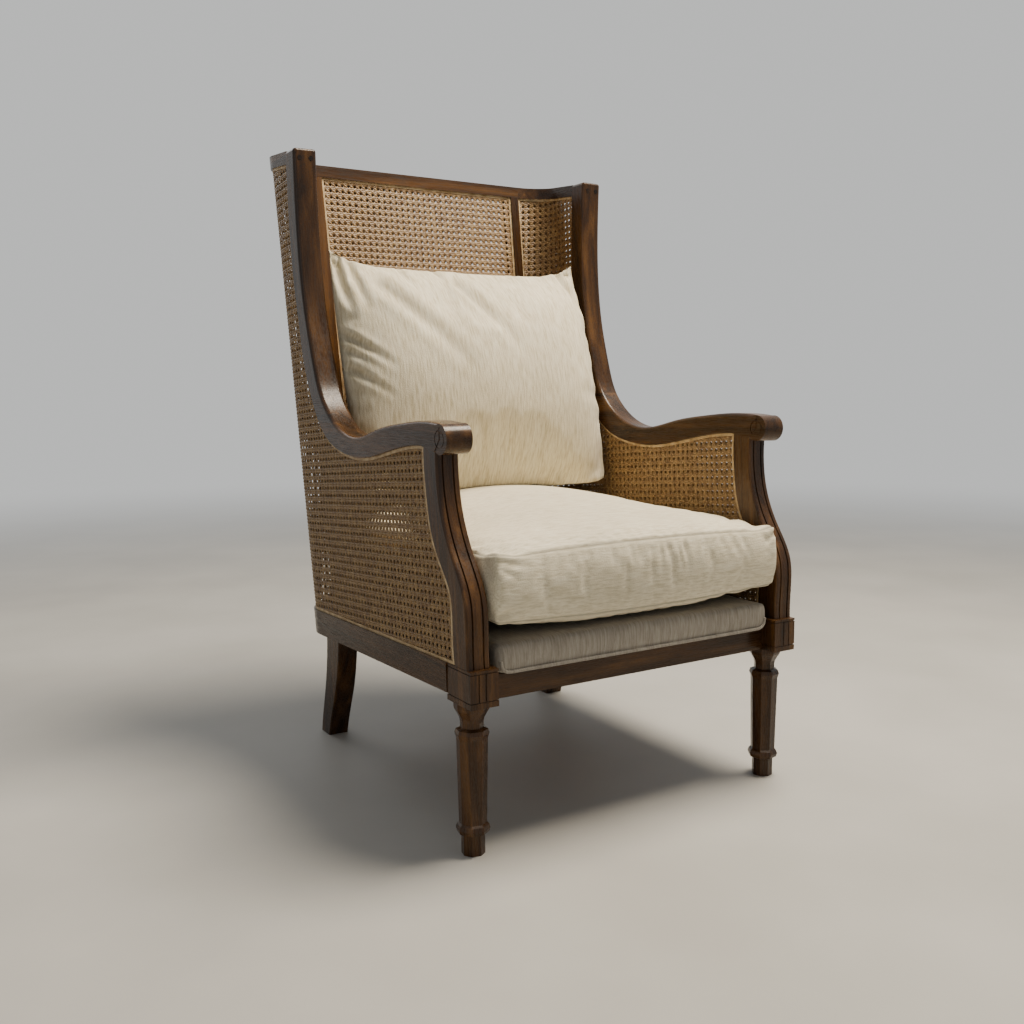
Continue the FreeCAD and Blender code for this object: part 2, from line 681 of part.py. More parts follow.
def make_cane(name, fill, skin):
    """A cane sheet and the reed spline round it. The outer skin lies by the outer face, the inner by the inner."""
    cane = size("cane_depth")
    reed = size("reed_depth")
    if skin == "inner":
        cane = size("shell_thick") - cane - size("cane_thick")
        reed = size("shell_thick") - reed - size("reed_thick")
    sheet_shape = fill(cane, cane + size("cane_thick"), size("reed_wide"))
    whole = fill(reed, reed + size("reed_thick"), 0)
    hollow = fill(reed - size("cane_thick"), reed + size("reed_thick") + size("cane_thick"), size("reed_wide"))
    return [new_piece(f"cane_{skin}_{name}", only_solid(sheet_shape)),
            new_piece(f"reed_{skin}_{name}", only_solid(whole.cut(hollow)))]


def make_wing_rail(side, sign):
    """Top rail of the wing, which turns the corner."""
    wall = side_wall(sign, 0, size("shell_thick")).common(wing_rail_band())
    return new_piece(f"wing_rail_{side}", only_solid(wall.cut(members_in_front(sign, 0)[1])))


def make_side_seat_rail(side, sign):
    """Seat rail of one side, which turns the corner."""
    wall = side_wall(sign, 0, size("shell_thick")).common(seat_rail_band())
    return new_piece(f"seat_rail_{side}", only_solid(wall))


def make_back_rail(label, rail_band):
    """A rail across the back, between the ends of the two corner rails."""
    wall = back_wall(lambda z: -corner_x(z), corner_x, 0, size("shell_thick"))
    return new_piece(label, only_solid(wall.common(rail_band)))


def make_back_post(side, sign):
    """Upright between the back rails, beside the corner."""
    def near(z):
        return sign * (corner_x(z) - size("back_post_wide"))

    def far(z):
        return sign * corner_x(z)
    wall = back_wall(near, far, 0, size("shell_thick"))
    return new_piece(f"back_post_{side}", only_solid(wall.common(cane_band(0))))


# Seat frame. The board lies level with the top of the front rail, on cleats along the side rails and on braces
# in the four corners.
FRONT_RAIL_Y = BLOCK_FRONT_Y + size("front_rail_set_back")
BRACE_Y = FRONT_RAIL_Y + size("front_rail_thick")
BOARD_TOP_Z = size("leg_height") + size("front_rail_height")
BOARD_LOW_Z = BOARD_TOP_Z - size("board_thick")
BLOCK_INSIDE_X = size("side_half") - size("block_set_in") - size("block_wide") / 2


def make_front_rail():
    rail_box = {"Length": "(side_half - block_set_in) * 2 - block_wide", "Width": "front_rail_thick",
                "Height": "front_rail_height"}
    rail = part_box("seat_rail_front", rail_box, SHIFT + Vector(-BLOCK_INSIDE_X, FRONT_RAIL_Y, size("leg_height")))
    rail.Label = "seat_rail_front"
    return rail


def make_front_brace(side, sign):
    """Block behind the front rail, beside the leg. The left one hangs a little below the rail."""
    drop = size("left_brace_drop") if sign < 0 else 0
    links = {"Length": "brace_long", "Width": "brace_thick", "Height": "front_rail_height - board_thick"}
    if drop:
        links["Height"] = "front_rail_height - board_thick + left_brace_drop"
    inner_x = BLOCK_INSIDE_X - size("brace_long") if sign > 0 else -BLOCK_INSIDE_X
    brace = part_box(f"front_brace_{side}", links, SHIFT + Vector(inner_x, BRACE_Y, size("leg_height") - drop))
    brace.Label = f"front_brace_{side}"
    return brace


def box_between(low, high):
    return Part.makeBox(high.x - low.x, high.y - low.y, high.z - low.z, low)


def make_rear_brace(side, sign):
    """Curved block inside the rear corner, over the rear leg, from the foot of the rails up to the board."""
    thick = size("shell_thick")
    wall = side_wall(sign, thick, thick + size("brace_thick")).common(
        band(seat_rail_bottom, lambda y: BOARD_LOW_Z, corner_y(BOARD_LOW_Z) - size("brace_long")))
    return new_piece(f"rear_brace_{side}", only_solid(wall))


def make_cleat(side, sign):
    """Strip along the inside of a side rail, under the board's edge."""
    thick = size("shell_thick")
    start_y = BLOCK_REAR_Y + size("cleat_front_gap")
    end_y = corner_y(BOARD_LOW_Z) - size("brace_long") - size("cleat_rear_gap")
    half = SHELL_HALF + size("corner_radius")
    zone = box_between(Vector(-half, start_y, BOARD_LOW_Z - size("cleat_height")), Vector(half, end_y, BOARD_LOW_Z))
    wall = side_wall(sign, thick, thick + size("cleat_thick")).common(zone)
    return new_piece(f"cleat_{side}", only_solid(wall))


def make_board():
    """Board under the deck, between the rails, its rear corners rounded with the shell."""
    clear = size("board_side_gap")
    half = corner_x(BOARD_LOW_Z) + size("corner_radius") - size("shell_thick") - clear
    radius = size("corner_radius") - size("shell_thick")
    rear_y = corner_y(BOARD_LOW_Z) + radius - clear
    front_y = BRACE_Y
    notch_x = BLOCK_INSIDE_X
    notch_y = BLOCK_REAR_Y
    turn = radius * (1 - math.sqrt(0.5))
    spots = [Vector(-notch_x, front_y, 0), Vector(notch_x, front_y, 0), Vector(notch_x, notch_y, 0),
             Vector(half, notch_y, 0), Vector(half, rear_y - radius, 0), Vector(half - radius, rear_y, 0),
             Vector(radius - half, rear_y, 0), Vector(-half, rear_y - radius, 0),
             Vector(-half, notch_y, 0), Vector(-notch_x, notch_y, 0)]
    right_turn = Vector(half - turn, rear_y - turn, 0)
    left_turn = Vector(turn - half, rear_y - turn, 0)
    edges = [line(spots[0], spots[1]), line(spots[1], spots[2]), line(spots[2], spots[3]), line(spots[3], spots[4]),
             Part.Arc(spots[4], right_turn, spots[5]), line(spots[5], spots[6]),
             Part.Arc(spots[6], left_turn, spots[7]), line(spots[7], spots[8]), line(spots[8], spots[9]),
             line(spots[9], spots[0])]
    body = new_body("seat_board")
    sketch = sketch_on(body, "XY_Plane", "board_outline", BOARD_LOW_Z)
    draw(sketch, edges)
    pad = body.newObject("PartDesign::Pad", "board_pad")
    pad.Profile = sketch
    bind(pad, {"Length": "board_thick"})
    doc.recompute()
    body.Placement = PLAIN
    return body


def make_peg_plugs():
    """Round plugs over the screws at the wing tops, a group of separate solids."""
    plugs = []
    for side, sign in SIDES:
        for spread in (-size("peg_spread"), size("peg_spread")):
            start = Vector(spread, STILE_FRONT_TOP.x, size("wing_height") - size("peg_drop"))
            plug = Part.makeCylinder(size("peg_radius"), size("peg_depth"), start, AXIS_Y)
            lean = Rotation(AXIS_Y, sign * size("side_lean_degrees"))
            plug.Placement = Placement(Vector(sign * size("side_half"), 0, 0), lean,
                                       Vector(0, 0, size("lean_datum"))).multiply(plug.Placement)
            plugs.append(plug)
    return new_piece("peg_plugs", Part.makeCompound(plugs))


# Soft pieces. A boxed cushion is lofted from front to back through sections of four arcs or lines: underside,
# two boxings and top. Each row of shares gives its place along the depth, how far the edge is drawn in, and
# how much of the full crown and belly it has.
PAD_SHARES = ((0, 1, 0.5, 0.5), (0.25, 0.2, 0.9, 0.9), (0.5, 0, 1, 1), (0.75, 0.2, 0.9, 0.9), (1, 1, 0.5, 0.5))
CUSHION_SHARES = ((0, 1, 0.15, 0.28), (0.24, 0.3, 0.62, 0.80), (0.48, 0, 0.90, 0.98), (0.73, 0.3, 1, 0.90),
                  (1, 1.8, 0.34, 0.32))


def boxed_cushion(shares, half, front_y, deep, low_z, boxing, bulge, crown, belly):
    rims = []
    for along, drawn_in, crown_share, belly_share in shares:
        y = front_y + along * deep
        wide = half - drawn_in * bulge
        top_z = low_z + boxing
        mid_z = low_z + boxing / 2
        corners = [Vector(-wide, y, low_z), Vector(wide, y, low_z), Vector(wide, y, top_z), Vector(-wide, y, top_z)]
        crests = [Vector(0, y, low_z - belly * belly_share), Vector(wide + bulge, y, mid_z),
                  Vector(0, y, top_z + crown * crown_share), Vector(-wide - bulge, y, mid_z)]
        edges = []
        for number, crest in enumerate(crests):
            edges.append(Part.Arc(corners[number], crest, corners[(number + 1) % 4]).toShape())
        rims.append(Part.Wire(edges))
    return Part.makeLoft(rims, True, False)


WALL_INSIDE_X = SHELL_HALF - size("shell_thick")
WALL_INSIDE_Y = size("corner_back") + size("corner_radius") - size("shell_thick")
PAD_FRONT_Y = POST_FRONT_Y + size("pad_set_back")
PAD_DEEP = WALL_INSIDE_Y - size("pad_rear_gap") - PAD_FRONT_Y
CUSHION_FRONT_Y = POST_FRONT_Y + size("cushion_set_back")
CUSHION_DEEP = WALL_INSIDE_Y - size("cushion_rear_gap") - CUSHION_FRONT_Y
PAD_HALF = WALL_INSIDE_X - size("pad_side_gap")
PILLOW_HALF = WALL_INSIDE_X - size("pillow_side_gap")
PAD_LOW_Z = BOARD_TOP_Z + size("soft_gap") + size("pad_belly")
PAD_CREST_Z = PAD_LOW_Z + size("pad_height") + size("pad_crown")
CUSHION_LOW_Z = PAD_CREST_Z + size("soft_gap") + size("cushion_belly")
CUSHION_CREST_Z = CUSHION_LOW_Z + size("cushion_boxing") + size("cushion_crown")


def make_deck_pad():
    shape = boxed_cushion(PAD_SHARES, PAD_HALF, PAD_FRONT_Y, PAD_DEEP, PAD_LOW_Z, size("pad_height"),
                          size("pad_bulge"), size("pad_crown"), size("pad_belly"))
    return new_piece("deck_pad", shape)


def make_deck_piping():
    """Cord sewn along the lower front edge of the deck pad."""
    cord = doc.addObject("Part::Cylinder", "deck_piping")
    cord.Label = "deck_piping"
    bind(cord, {"Radius": "piping_radius"})
    cord.Height = PAD_HALF * 2
    start = Vector(-PAD_HALF, PAD_FRONT_Y - size("piping_radius") - size("soft_gap"),
                   PAD_LOW_Z + size("piping_radius"))
    cord.Placement = Placement(SHIFT + start, Rotation(AXIS_Z, AXIS_X))
    return cord


def make_seat_cushion():
    shape = boxed_cushion(CUSHION_SHARES, WALL_INSIDE_X - size("cushion_side_gap"), CUSHION_FRONT_Y, CUSHION_DEEP,
                          CUSHION_LOW_Z, size("cushion_boxing"), size("cushion_bulge"), size("cushion_crown"),
                          size("cushion_belly"))
    return new_piece("seat_cushion", shape)


# Back cushion: a knife-edged pillow lofted from left to right through sections of two arcs that meet at the
# seam. Each row of shares gives the place across, the swell, and how far the ear stands up.
PILLOW_SHARES = ((-1, 0.05, 1), (-0.93, 0.24, 0.62), (-0.72, 0.68, 0.16), (-0.36, 0.93, 0.02), (0, 1, 0),
                 (0.36, 0.93, 0.02), (0.72, 0.68, 0.16), (0.93, 0.24, 0.62), (1, 0.05, 1))


def make_back_cushion():
    rims = []
    for across_share, swell, ear in PILLOW_SHARES:
        x = across_share * PILLOW_HALF
        foot = Vector(x, 0, 0)
        top_z = size("pillow_tall") + ear * size("pillow_ear")
        top = Vector(x, 0, top_z)
        front = Vector(x, -swell * size("pillow_front_swell"), top_z / 2)
        rear = Vector(x, swell * size("pillow_rear_swell"), top_z / 2)
        rims.append(Part.Wire([Part.Arc(foot, front, top).toShape(), Part.Arc(top, rear, foot).toShape()]))
    shape = Part.makeLoft(rims, True, False)
    shape.rotate(Vector(), AXIS_X, -size("pillow_lean_degrees"))
    shape.translate(Vector(0, WALL_INSIDE_Y - size("pillow_foot_gap"), CUSHION_CREST_Z + size("soft_gap")))
    return new_piece("back_cushion", shape)


nodes = []
for side, sign in SIDES:
    nodes += [make_front_leg(side, sign), make_arm_post(side, sign), make_arm(side, sign),
              make_wing_stile(side, sign), make_rear_leg(side, sign), make_wing_rail(side, sign),
              make_side_seat_rail(side, sign), make_back_post(side, sign), make_front_brace(side, sign),
              make_rear_brace(side, sign), make_cleat(side, sign)]
    for skin in ("outer", "inner"):
        nodes += make_cane(side, lambda shallow, deep, inset: side_opening(sign, shallow, deep, inset), skin)
for skin in ("outer", "inner"):
    nodes += make_cane("back", back_opening, skin)
nodes += [make_back_rail("back_top_rail", wing_rail_band()), make_back_rail("seat_rail_back", seat_rail_band()),
          make_front_rail(), make_board(), make_peg_plugs(), make_deck_pad(), make_deck_piping(),
          make_seat_cushion(), make_back_cushion()]
doc.recompute()

for item in doc.Objects:
    broken = [state for state in item.State if state in ("Invalid", "Error")]
    if broken:
        raise RuntimeError(f"{item.Label} is {broken}")
for node in nodes:
    if node.Shape.isNull() or not node.Shape.isValid() or node.Shape.Volume <= 0:
        raise RuntimeError(f"{node.Label} has a bad shape")
for node in nodes:
    node.Shape.exportStep(f"parts/{node.Label}.step")
    print(f"{node.Label}: {len(node.Shape.Solids)} solid(s), {node.Shape.Volume / 1000:.1f} cm3")
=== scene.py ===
import bmesh
import bpy
import math
import numpy as np
from mathutils import Matrix, Vector
from mathutils.bvhtree import BVHTree


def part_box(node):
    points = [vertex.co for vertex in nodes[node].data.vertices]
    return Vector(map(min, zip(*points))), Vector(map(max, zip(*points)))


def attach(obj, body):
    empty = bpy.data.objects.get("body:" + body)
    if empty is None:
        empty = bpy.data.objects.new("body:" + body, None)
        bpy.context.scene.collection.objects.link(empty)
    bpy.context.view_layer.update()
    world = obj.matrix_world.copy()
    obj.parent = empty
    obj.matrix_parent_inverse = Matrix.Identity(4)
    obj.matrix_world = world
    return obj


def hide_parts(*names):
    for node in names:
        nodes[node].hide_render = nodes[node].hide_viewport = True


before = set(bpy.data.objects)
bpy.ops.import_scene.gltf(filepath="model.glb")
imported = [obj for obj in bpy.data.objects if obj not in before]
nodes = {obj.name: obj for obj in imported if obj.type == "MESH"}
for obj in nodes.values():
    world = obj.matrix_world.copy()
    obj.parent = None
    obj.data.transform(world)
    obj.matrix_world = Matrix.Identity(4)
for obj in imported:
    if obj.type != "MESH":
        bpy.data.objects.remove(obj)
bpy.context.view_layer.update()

# Camera. It stands where the photographer stood, to the chair's right-hand side as one sits in it, at about
# the height of the arms, and looks slightly down. The lens is worked out from a focal length in pixels.
CAMERA_PLACE = Vector((-0.9649, -1.5670, 0.6531))
CAMERA_YAW_DEGREES = 31.56
CAMERA_PITCH_DEGREES = 6.76
CAMERA_ROLL_DEGREES = -0.42
FOCAL_PIXELS = 1028.9
PICTURE_PIXELS = 1024
SENSOR_MM = 36


def camera_matrix():
    degrees = (CAMERA_YAW_DEGREES, CAMERA_PITCH_DEGREES, CAMERA_ROLL_DEGREES)
    yaw, pitch, roll = (math.radians(angle) for angle in degrees)
    ahead = Vector((math.sin(yaw) * math.cos(pitch), math.cos(yaw) * math.cos(pitch), -math.sin(pitch)))
    level = Vector((math.cos(yaw), -math.sin(yaw), 0))
    upright = level.cross(ahead)
    right = math.cos(roll) * level + math.sin(roll) * upright
    up = math.cos(roll) * upright - math.sin(roll) * level
    turn = Matrix((right, up, -ahead)).transposed().to_4x4()
    return Matrix.Translation(CAMERA_PLACE) @ turn


camera_data = bpy.data.cameras.new("camera")
camera_data.sensor_width = SENSOR_MM
camera_data.lens = FOCAL_PIXELS / PICTURE_PIXELS * SENSOR_MM
camera = bpy.data.objects.new("camera", camera_data)
camera.matrix_world = camera_matrix()
bpy.context.scene.collection.objects.link(camera)
bpy.context.scene.camera = camera

# Studio: a pale matt floor that fades into the background, a soft key light almost overhead on the right, a
# weak fill from the left, a rim light behind and an even sky. The background is paler than the sky that
# lights the chair.
FLOOR_HALF = 14.0
FADE_START = 1.6
FADE_END = 6.0
SKY_COLOUR = "#dfe0df"
SKY_STRENGTH = 0.24
SKY_SEEN_STRENGTH = 0.9


def linear(hex_colour):
    """Linear RGBA from an sRGB hex colour."""
    channels = [int(hex_colour[i:i + 2], 16) / 255 for i in (1, 3, 5)]
    return [c / 12.92 if c <= 0.04045 else ((c + 0.055) / 1.055) ** 2.4 for c in channels] + [1]


def add_node(tree, kind, inputs=None, **settings):
    """Adds a shader node. An input is a value, or another node's output socket to link from."""
    made = tree.nodes.new(kind)
    for name, value in settings.items():
        setattr(made, name, value)
    for key, value in (inputs or {}).items():
        if isinstance(value, bpy.types.NodeSocket):
            tree.links.new(value, made.inputs[key])
        else:
            made.inputs[key].default_value = value
    return made


def new_material(name, **surface):
    """A material with its principled shader, and the tree that it is built in."""
    material = bpy.data.materials.new(name)
    material.use_nodes = True
    tree = material.node_tree
    shader = tree.nodes["Principled BSDF"]
    for key, value in surface.items():
        shader.inputs[key.replace("_", " ")].default_value = value
    return material, tree, shader


def plain_mesh(name, vertices, faces, smooth=True):
    mesh = bpy.data.meshes.new(name)
    mesh.from_pydata([tuple(v) for v in vertices], [], [tuple(f) for f in faces])
    mesh.update()
    if smooth:
        mesh.shade_smooth()
    made = bpy.data.objects.new(name, mesh)
    bpy.context.scene.collection.objects.link(made)
    return made


world = bpy.data.worlds.new("studio")
world.use_nodes = True
world_tree = world.node_tree
bpy.context.scene.world = world


def seen_rays(tree):
    """1 for the rays that show the background: straight from the camera, mirrored or through glass."""
    ray = add_node(tree, "ShaderNodeLightPath").outputs
    either = add_node(tree, "ShaderNodeMath", {0: ray["Is Camera Ray"], 1: ray["Is Glossy Ray"]},
                      operation="MAXIMUM")
    any_ray = add_node(tree, "ShaderNodeMath", {0: either.outputs[0], 1: ray["Is Transmission Ray"]},
                       operation="MAXIMUM")
    return any_ray.outputs[0]


strength = add_node(world_tree, "ShaderNodeMapRange", {"Value": seen_rays(world_tree), "To Min": SKY_STRENGTH,
                                                       "To Max": SKY_SEEN_STRENGTH})
sky = world_tree.nodes["Background"]
sky.inputs["Color"].default_value = linear(SKY_COLOUR)
world_tree.links.new(strength.outputs["Result"], sky.inputs["Strength"])

floor_material, floor_tree, floor_shader = new_material("sealed_concrete", Roughness=0.55)
floor_place = add_node(floor_tree, "ShaderNodeTexCoord").outputs["Object"]
floor_cloud = add_node(floor_tree, "ShaderNodeTexNoise", {"Vector": floor_place, "Scale": 2.2, "Detail": 6.0})
floor_ramp = add_node(floor_tree, "ShaderNodeValToRGB", {"Fac": floor_cloud.outputs["Fac"]})
floor_ramp.color_ramp.elements[0].color = linear("#b6b4ae")
floor_ramp.color_ramp.elements[0].position = 0.35
floor_ramp.color_ramp.elements[1].color = linear("#c2c0ba")
floor_ramp.color_ramp.elements[1].position = 0.65
floor_tree.links.new(floor_ramp.outputs["Color"], floor_shader.inputs["Base Color"])
# Far from the chair the floor fades into the background, so that no horizon shows.
floor_far = add_node(floor_tree, "ShaderNodeVectorMath", {0: floor_place}, operation="LENGTH")
floor_fade = add_node(floor_tree, "ShaderNodeMapRange", {"Value": floor_far.outputs["Value"],
                                                         "From Min": FADE_START, "From Max": FADE_END},
                      interpolation_type="SMOOTHSTEP")
floor_seen = add_node(floor_tree, "ShaderNodeMath", {0: floor_fade.outputs["Result"],
                                                     1: seen_rays(floor_tree)}, operation="MULTIPLY")
floor_sky = add_node(floor_tree, "ShaderNodeEmission", {"Color": linear(SKY_COLOUR),
                                                        "Strength": SKY_SEEN_STRENGTH})
floor_mix = add_node(floor_tree, "ShaderNodeMixShader", {0: floor_seen.outputs[0], 1: floor_shader.outputs[0],
                                                         2: floor_sky.outputs[0]})
floor_tree.links.new(floor_mix.outputs[0], floor_tree.nodes["Material Output"].inputs["Surface"])
floor = plain_mesh("floor", [(-FLOOR_HALF, -FLOOR_HALF, 0), (FLOOR_HALF, -FLOOR_HALF, 0),
                             (FLOOR_HALF, FLOOR_HALF, 0), (-FLOOR_HALF, FLOOR_HALF, 0)], [(0, 1, 2, 3)])
floor.data.materials.append(floor_material)

# Each lamp has a name, a place, the point it is turned to, its width, its power in watts and its colour.
LAMPS = (("key", (0.85, -0.45, 3.1), (0, 0, 0.5), 1.5, 178, "#fff2de"),
         ("fill", (-2.6, -2.2, 1.6), (0, 0, 0.5), 2.2, 5, "#f3f6fb"),
         ("rim", (-0.6, 2.6, 2.4), (0, 0, 0.7), 1.6, 12, "#ffffff"))
for name, place, aim, wide, power, colour in LAMPS:
    data = bpy.data.lights.new(name, "AREA")
    data.shape = "DISK"
    data.size = wide
    data.energy = power
    data.color = linear(colour)[:3]
    lamp = bpy.data.objects.new(name, data)
    lamp.location = place
    lamp.rotation_euler = (Vector(aim) - Vector(place)).to_track_quat("-Z", "Y").to_euler()
    bpy.context.scene.collection.objects.link(lamp)

# Frame timber: a dark open-grained hardwood such as teak, stained walnut brown, joined with pegs and tenons,
# sanded and polished by hand. The eye sees a deep brown with soft streaks along each piece's length, fine dark
# pores and a quiet semi-gloss. The noise makes about two bands or pores to each unit of its scale.
GRAIN_BAND_MM = 9
PORE_MM = 0.7
RUN_SHARE = 0.045


def timber(name, along, dark="#2a1a0c", mid="#452d16", light="#604222"):
    """Polished hardwood with its grain along one direction of the chair."""
    material, tree, shader = new_material(name, IOR=1.5, Specular_IOR_Level=0.28)
    place = add_node(tree, "ShaderNodeTexCoord").outputs["Object"]
    turn = Vector((0, 0, 1)).rotation_difference(Vector(along).normalized()).inverted().to_euler()
    turned = add_node(tree, "ShaderNodeMapping", {"Vector": place, "Rotation": tuple(turn)})
    stretched = add_node(tree, "ShaderNodeMapping", {"Vector": turned.outputs[0], "Scale": (1, 1, RUN_SHARE)})
    bands = add_node(tree, "ShaderNodeTexNoise", {"Vector": stretched.outputs[0], "Detail": 5.0,
                                                  "Scale": 500 / GRAIN_BAND_MM, "Roughness": 0.55,
                                                  "Distortion": 0.6})
    pores = add_node(tree, "ShaderNodeTexNoise", {"Vector": stretched.outputs[0], "Scale": 500 / PORE_MM,
                                                  "Detail": 2.0, "Roughness": 0.6})
    clouds = add_node(tree, "ShaderNodeTexNoise", {"Vector": place, "Scale": 5.0, "Detail": 2.0})
    ramp = add_node(tree, "ShaderNodeValToRGB", {"Fac": bands.outputs["Fac"]})
    stops = ramp.color_ramp.elements
    stops[0].position = 0.34
    stops[0].color = linear(dark)
    stops[1].position = 0.68
    stops[1].color = linear(light)
    stops.new(0.52).color = linear(mid)
    pore_ramp = add_node(tree, "ShaderNodeMapRange", {"Value": pores.outputs["Fac"], "From Min": 0.36,
                                                      "From Max": 0.47, "To Min": 0.55, "To Max": 1.0})
    cloud_ramp = add_node(tree, "ShaderNodeMapRange", {"Value": clouds.outputs["Fac"], "From Min": 0.3,
                                                       "From Max": 0.7, "To Min": 0.78, "To Max": 1.18})
    shade = add_node(tree, "ShaderNodeMath", {0: pore_ramp.outputs[0], 1: cloud_ramp.outputs[0]},
                     operation="MULTIPLY")
    colour = add_node(tree, "ShaderNodeVectorMath", {0: ramp.outputs["Color"], "Scale": shade.outputs[0]},
                      operation="SCALE")
    tree.links.new(colour.outputs[0], shader.inputs["Base Color"])
    dull = add_node(tree, "ShaderNodeMapRange", {"Value": pores.outputs["Fac"], "From Min": 0.36,
                                                 "From Max": 0.6, "To Min": 0.42, "To Max": 0.2})
    tree.links.new(dull.outputs[0], shader.inputs["Roughness"])
    bump = add_node(tree, "ShaderNodeBump", {"Height": pores.outputs["Fac"], "Strength": 0.12,
                                             "Distance": 0.0004})
    tree.links.new(bump.outputs[0], shader.inputs["Normal"])
    return material


RAKE = math.radians(8.1)
upright_timber = timber("polished_teak_upright", (0, 0.06, 1))
raked_timber = timber("polished_teak_raked", (0, math.sin(RAKE), math.cos(RAKE)))
lengthwise_timber = timber("polished_teak_lengthwise", (0, 1, 0))
crosswise_timber = timber("polished_teak_crosswise", (1, 0, 0))
TIMBER_OF = {"front_leg": upright_timber, "arm_post": upright_timber, "wing_stile": raked_timber,
             "arm": lengthwise_timber, "rear_leg": upright_timber, "wing_rail": lengthwise_timber,
             "seat_rail": lengthwise_timber, "back_post": raked_timber}


def finish_node(name, material):
    nodes[name].data.materials.clear()
    nodes[name].data.materials.append(material)


for piece, material in TIMBER_OF.items():
    for side in ("left", "right"):
        finish_node(f"{piece}_{side}", material)
for name in ("back_top_rail", "seat_rail_back", "seat_rail_front"):
    finish_node(name, crosswise_timber)

# Peg plugs: short pegs of a slightly darker timber over the screws at the wing tops and posts. They are glued
# into their holes and pared flush.
finish_node("peg_plugs", timber("dark_plug", (0, 1, 0), "#170e07", "#26180c", "#332112"))

# Seat board, cleats and corner braces: plain plywood and softwood, stained but not polished. The cleats and
# braces are glued and screwed inside the seat frame and carry the board. The front braces are of the frame's
# own timber.
bare_wood = timber("bare_softwood", (1, 0, 0), "#5b4128", "#7d5c3a", "#96714a")
for name in ("seat_board", "cleat_left", "cleat_right", "rear_brace_left", "rear_brace_right"):
    finish_node(name, bare_wood)
for name in ("front_brace_left", "front_brace_right"):
    finish_node(name, crosswise_timber)

# Woven cane. Split rattan in the common seven-step weave: pairs of strands up and across, and a single strand
# on each diagonal, which goes over one pair and under the other. Each wall has an outer and an inner skin,
# let into a rebate round its opening. The side skins run round the bend as far as the back posts.
CANE_PITCH = 0.0125
STRAND_WIDE = 0.0033
PAIR_GAP = 0.0002
DIAGONAL_WIDE = 0.0038
STRAND_THICK = 0.0007
PAIR_RISE = 0.0004
DIAGONAL_RISE = 0.0009
WALL_LEVEL = 0.300
CORNER_X = 0.2153
CORNER_Y = 0.18045
CORNER_RADIUS = 0.095
# The walls lean outwards and rake backwards by this much for each metre of height.
SIDE_LEAN = 0.0192
BACK_RAKE = 0.1423
SKIN_DEPTH = {"outer": 0.0046, "inner": 0.0354}
ROW_FALL = math.radians(4.5)
SIDE_MIDDLE = (-0.02, 0.66)
SIDE_CELLS = (64, 68)
BACK_MIDDLE = (0, 0.68)
BACK_CELLS = (36, 66)
# The inner skins don't lie hole for hole behind the outer ones: they are set this far over and up, and their
# rows are drawn together to this share.
INNER_SETTING = {"left": (0.0063, 0.0063, 1), "right": (0.0063, 0.0055, 0.98),
                 "back": (0.0063, 0.0014, 0.984)}
TRIM = 0.0022
TRIM_MARGIN = 0.01


def rattan(name, cloud_scale, cloud_detail, dark, pale, **surface):
    """Rattan that clouds over from one colour to another. Each colour comes with its place on the ramp."""
    material, tree, shader = new_material(name, IOR=1.5, **surface)
    place = add_node(tree, "ShaderNodeTexCoord").outputs["Object"]
    cloud = add_node(tree, "ShaderNodeTexNoise", {"Vector": place, "Scale": cloud_scale,
                                                  "Detail": cloud_detail})
    ramp = add_node(tree, "ShaderNodeValToRGB", {"Fac": cloud.outputs["Fac"]})
    for stop, (position, colour) in zip(ramp.color_ramp.elements, (dark, pale)):
        stop.position = position
        stop.color = linear(colour)
    tree.links.new(ramp.outputs["Color"], shader.inputs["Base Color"])
    return material, tree, shader, place


# Split rattan skin, scraped to one width: a low natural gloss, brown with age, with fine fibres along it.
cane_fibre, cane_tree, cane_shader, cane_place = rattan("split_rattan_cane", 90.0, 4.0,
                                                        (0.32, "#775b3c"), (0.66, "#9d8056"),
                                                        Roughness=0.42, Specular_IOR_Level=0.3)
cane_fibres = add_node(cane_tree, "ShaderNodeTexNoise", {"Vector": cane_place, "Scale": 900.0})
cane_bump = add_node(cane_tree, "ShaderNodeBump", {"Height": cane_fibres.outputs["Fac"], "Strength": 0.2,
                                                   "Distance": 0.0003})
cane_tree.links.new(cane_bump.outputs[0], cane_shader.inputs["Normal"])


def strand(start, end, wide):
    """Corners and faces of one straight run of a strand, flat behind and with a low ridge in front."""
    start, end = Vector(start), Vector(end)
    across = Vector((start.y - end.y, end.x - start.x, 0)).normalized() * wide / 2
    ridge = Vector((0, 0, STRAND_THICK))
    corners = [start - across, start + across, start + ridge, end - across, end + across, end + ridge]
    return corners, [(0, 1, 4, 3), (1, 2, 5, 4), (2, 0, 3, 5)]


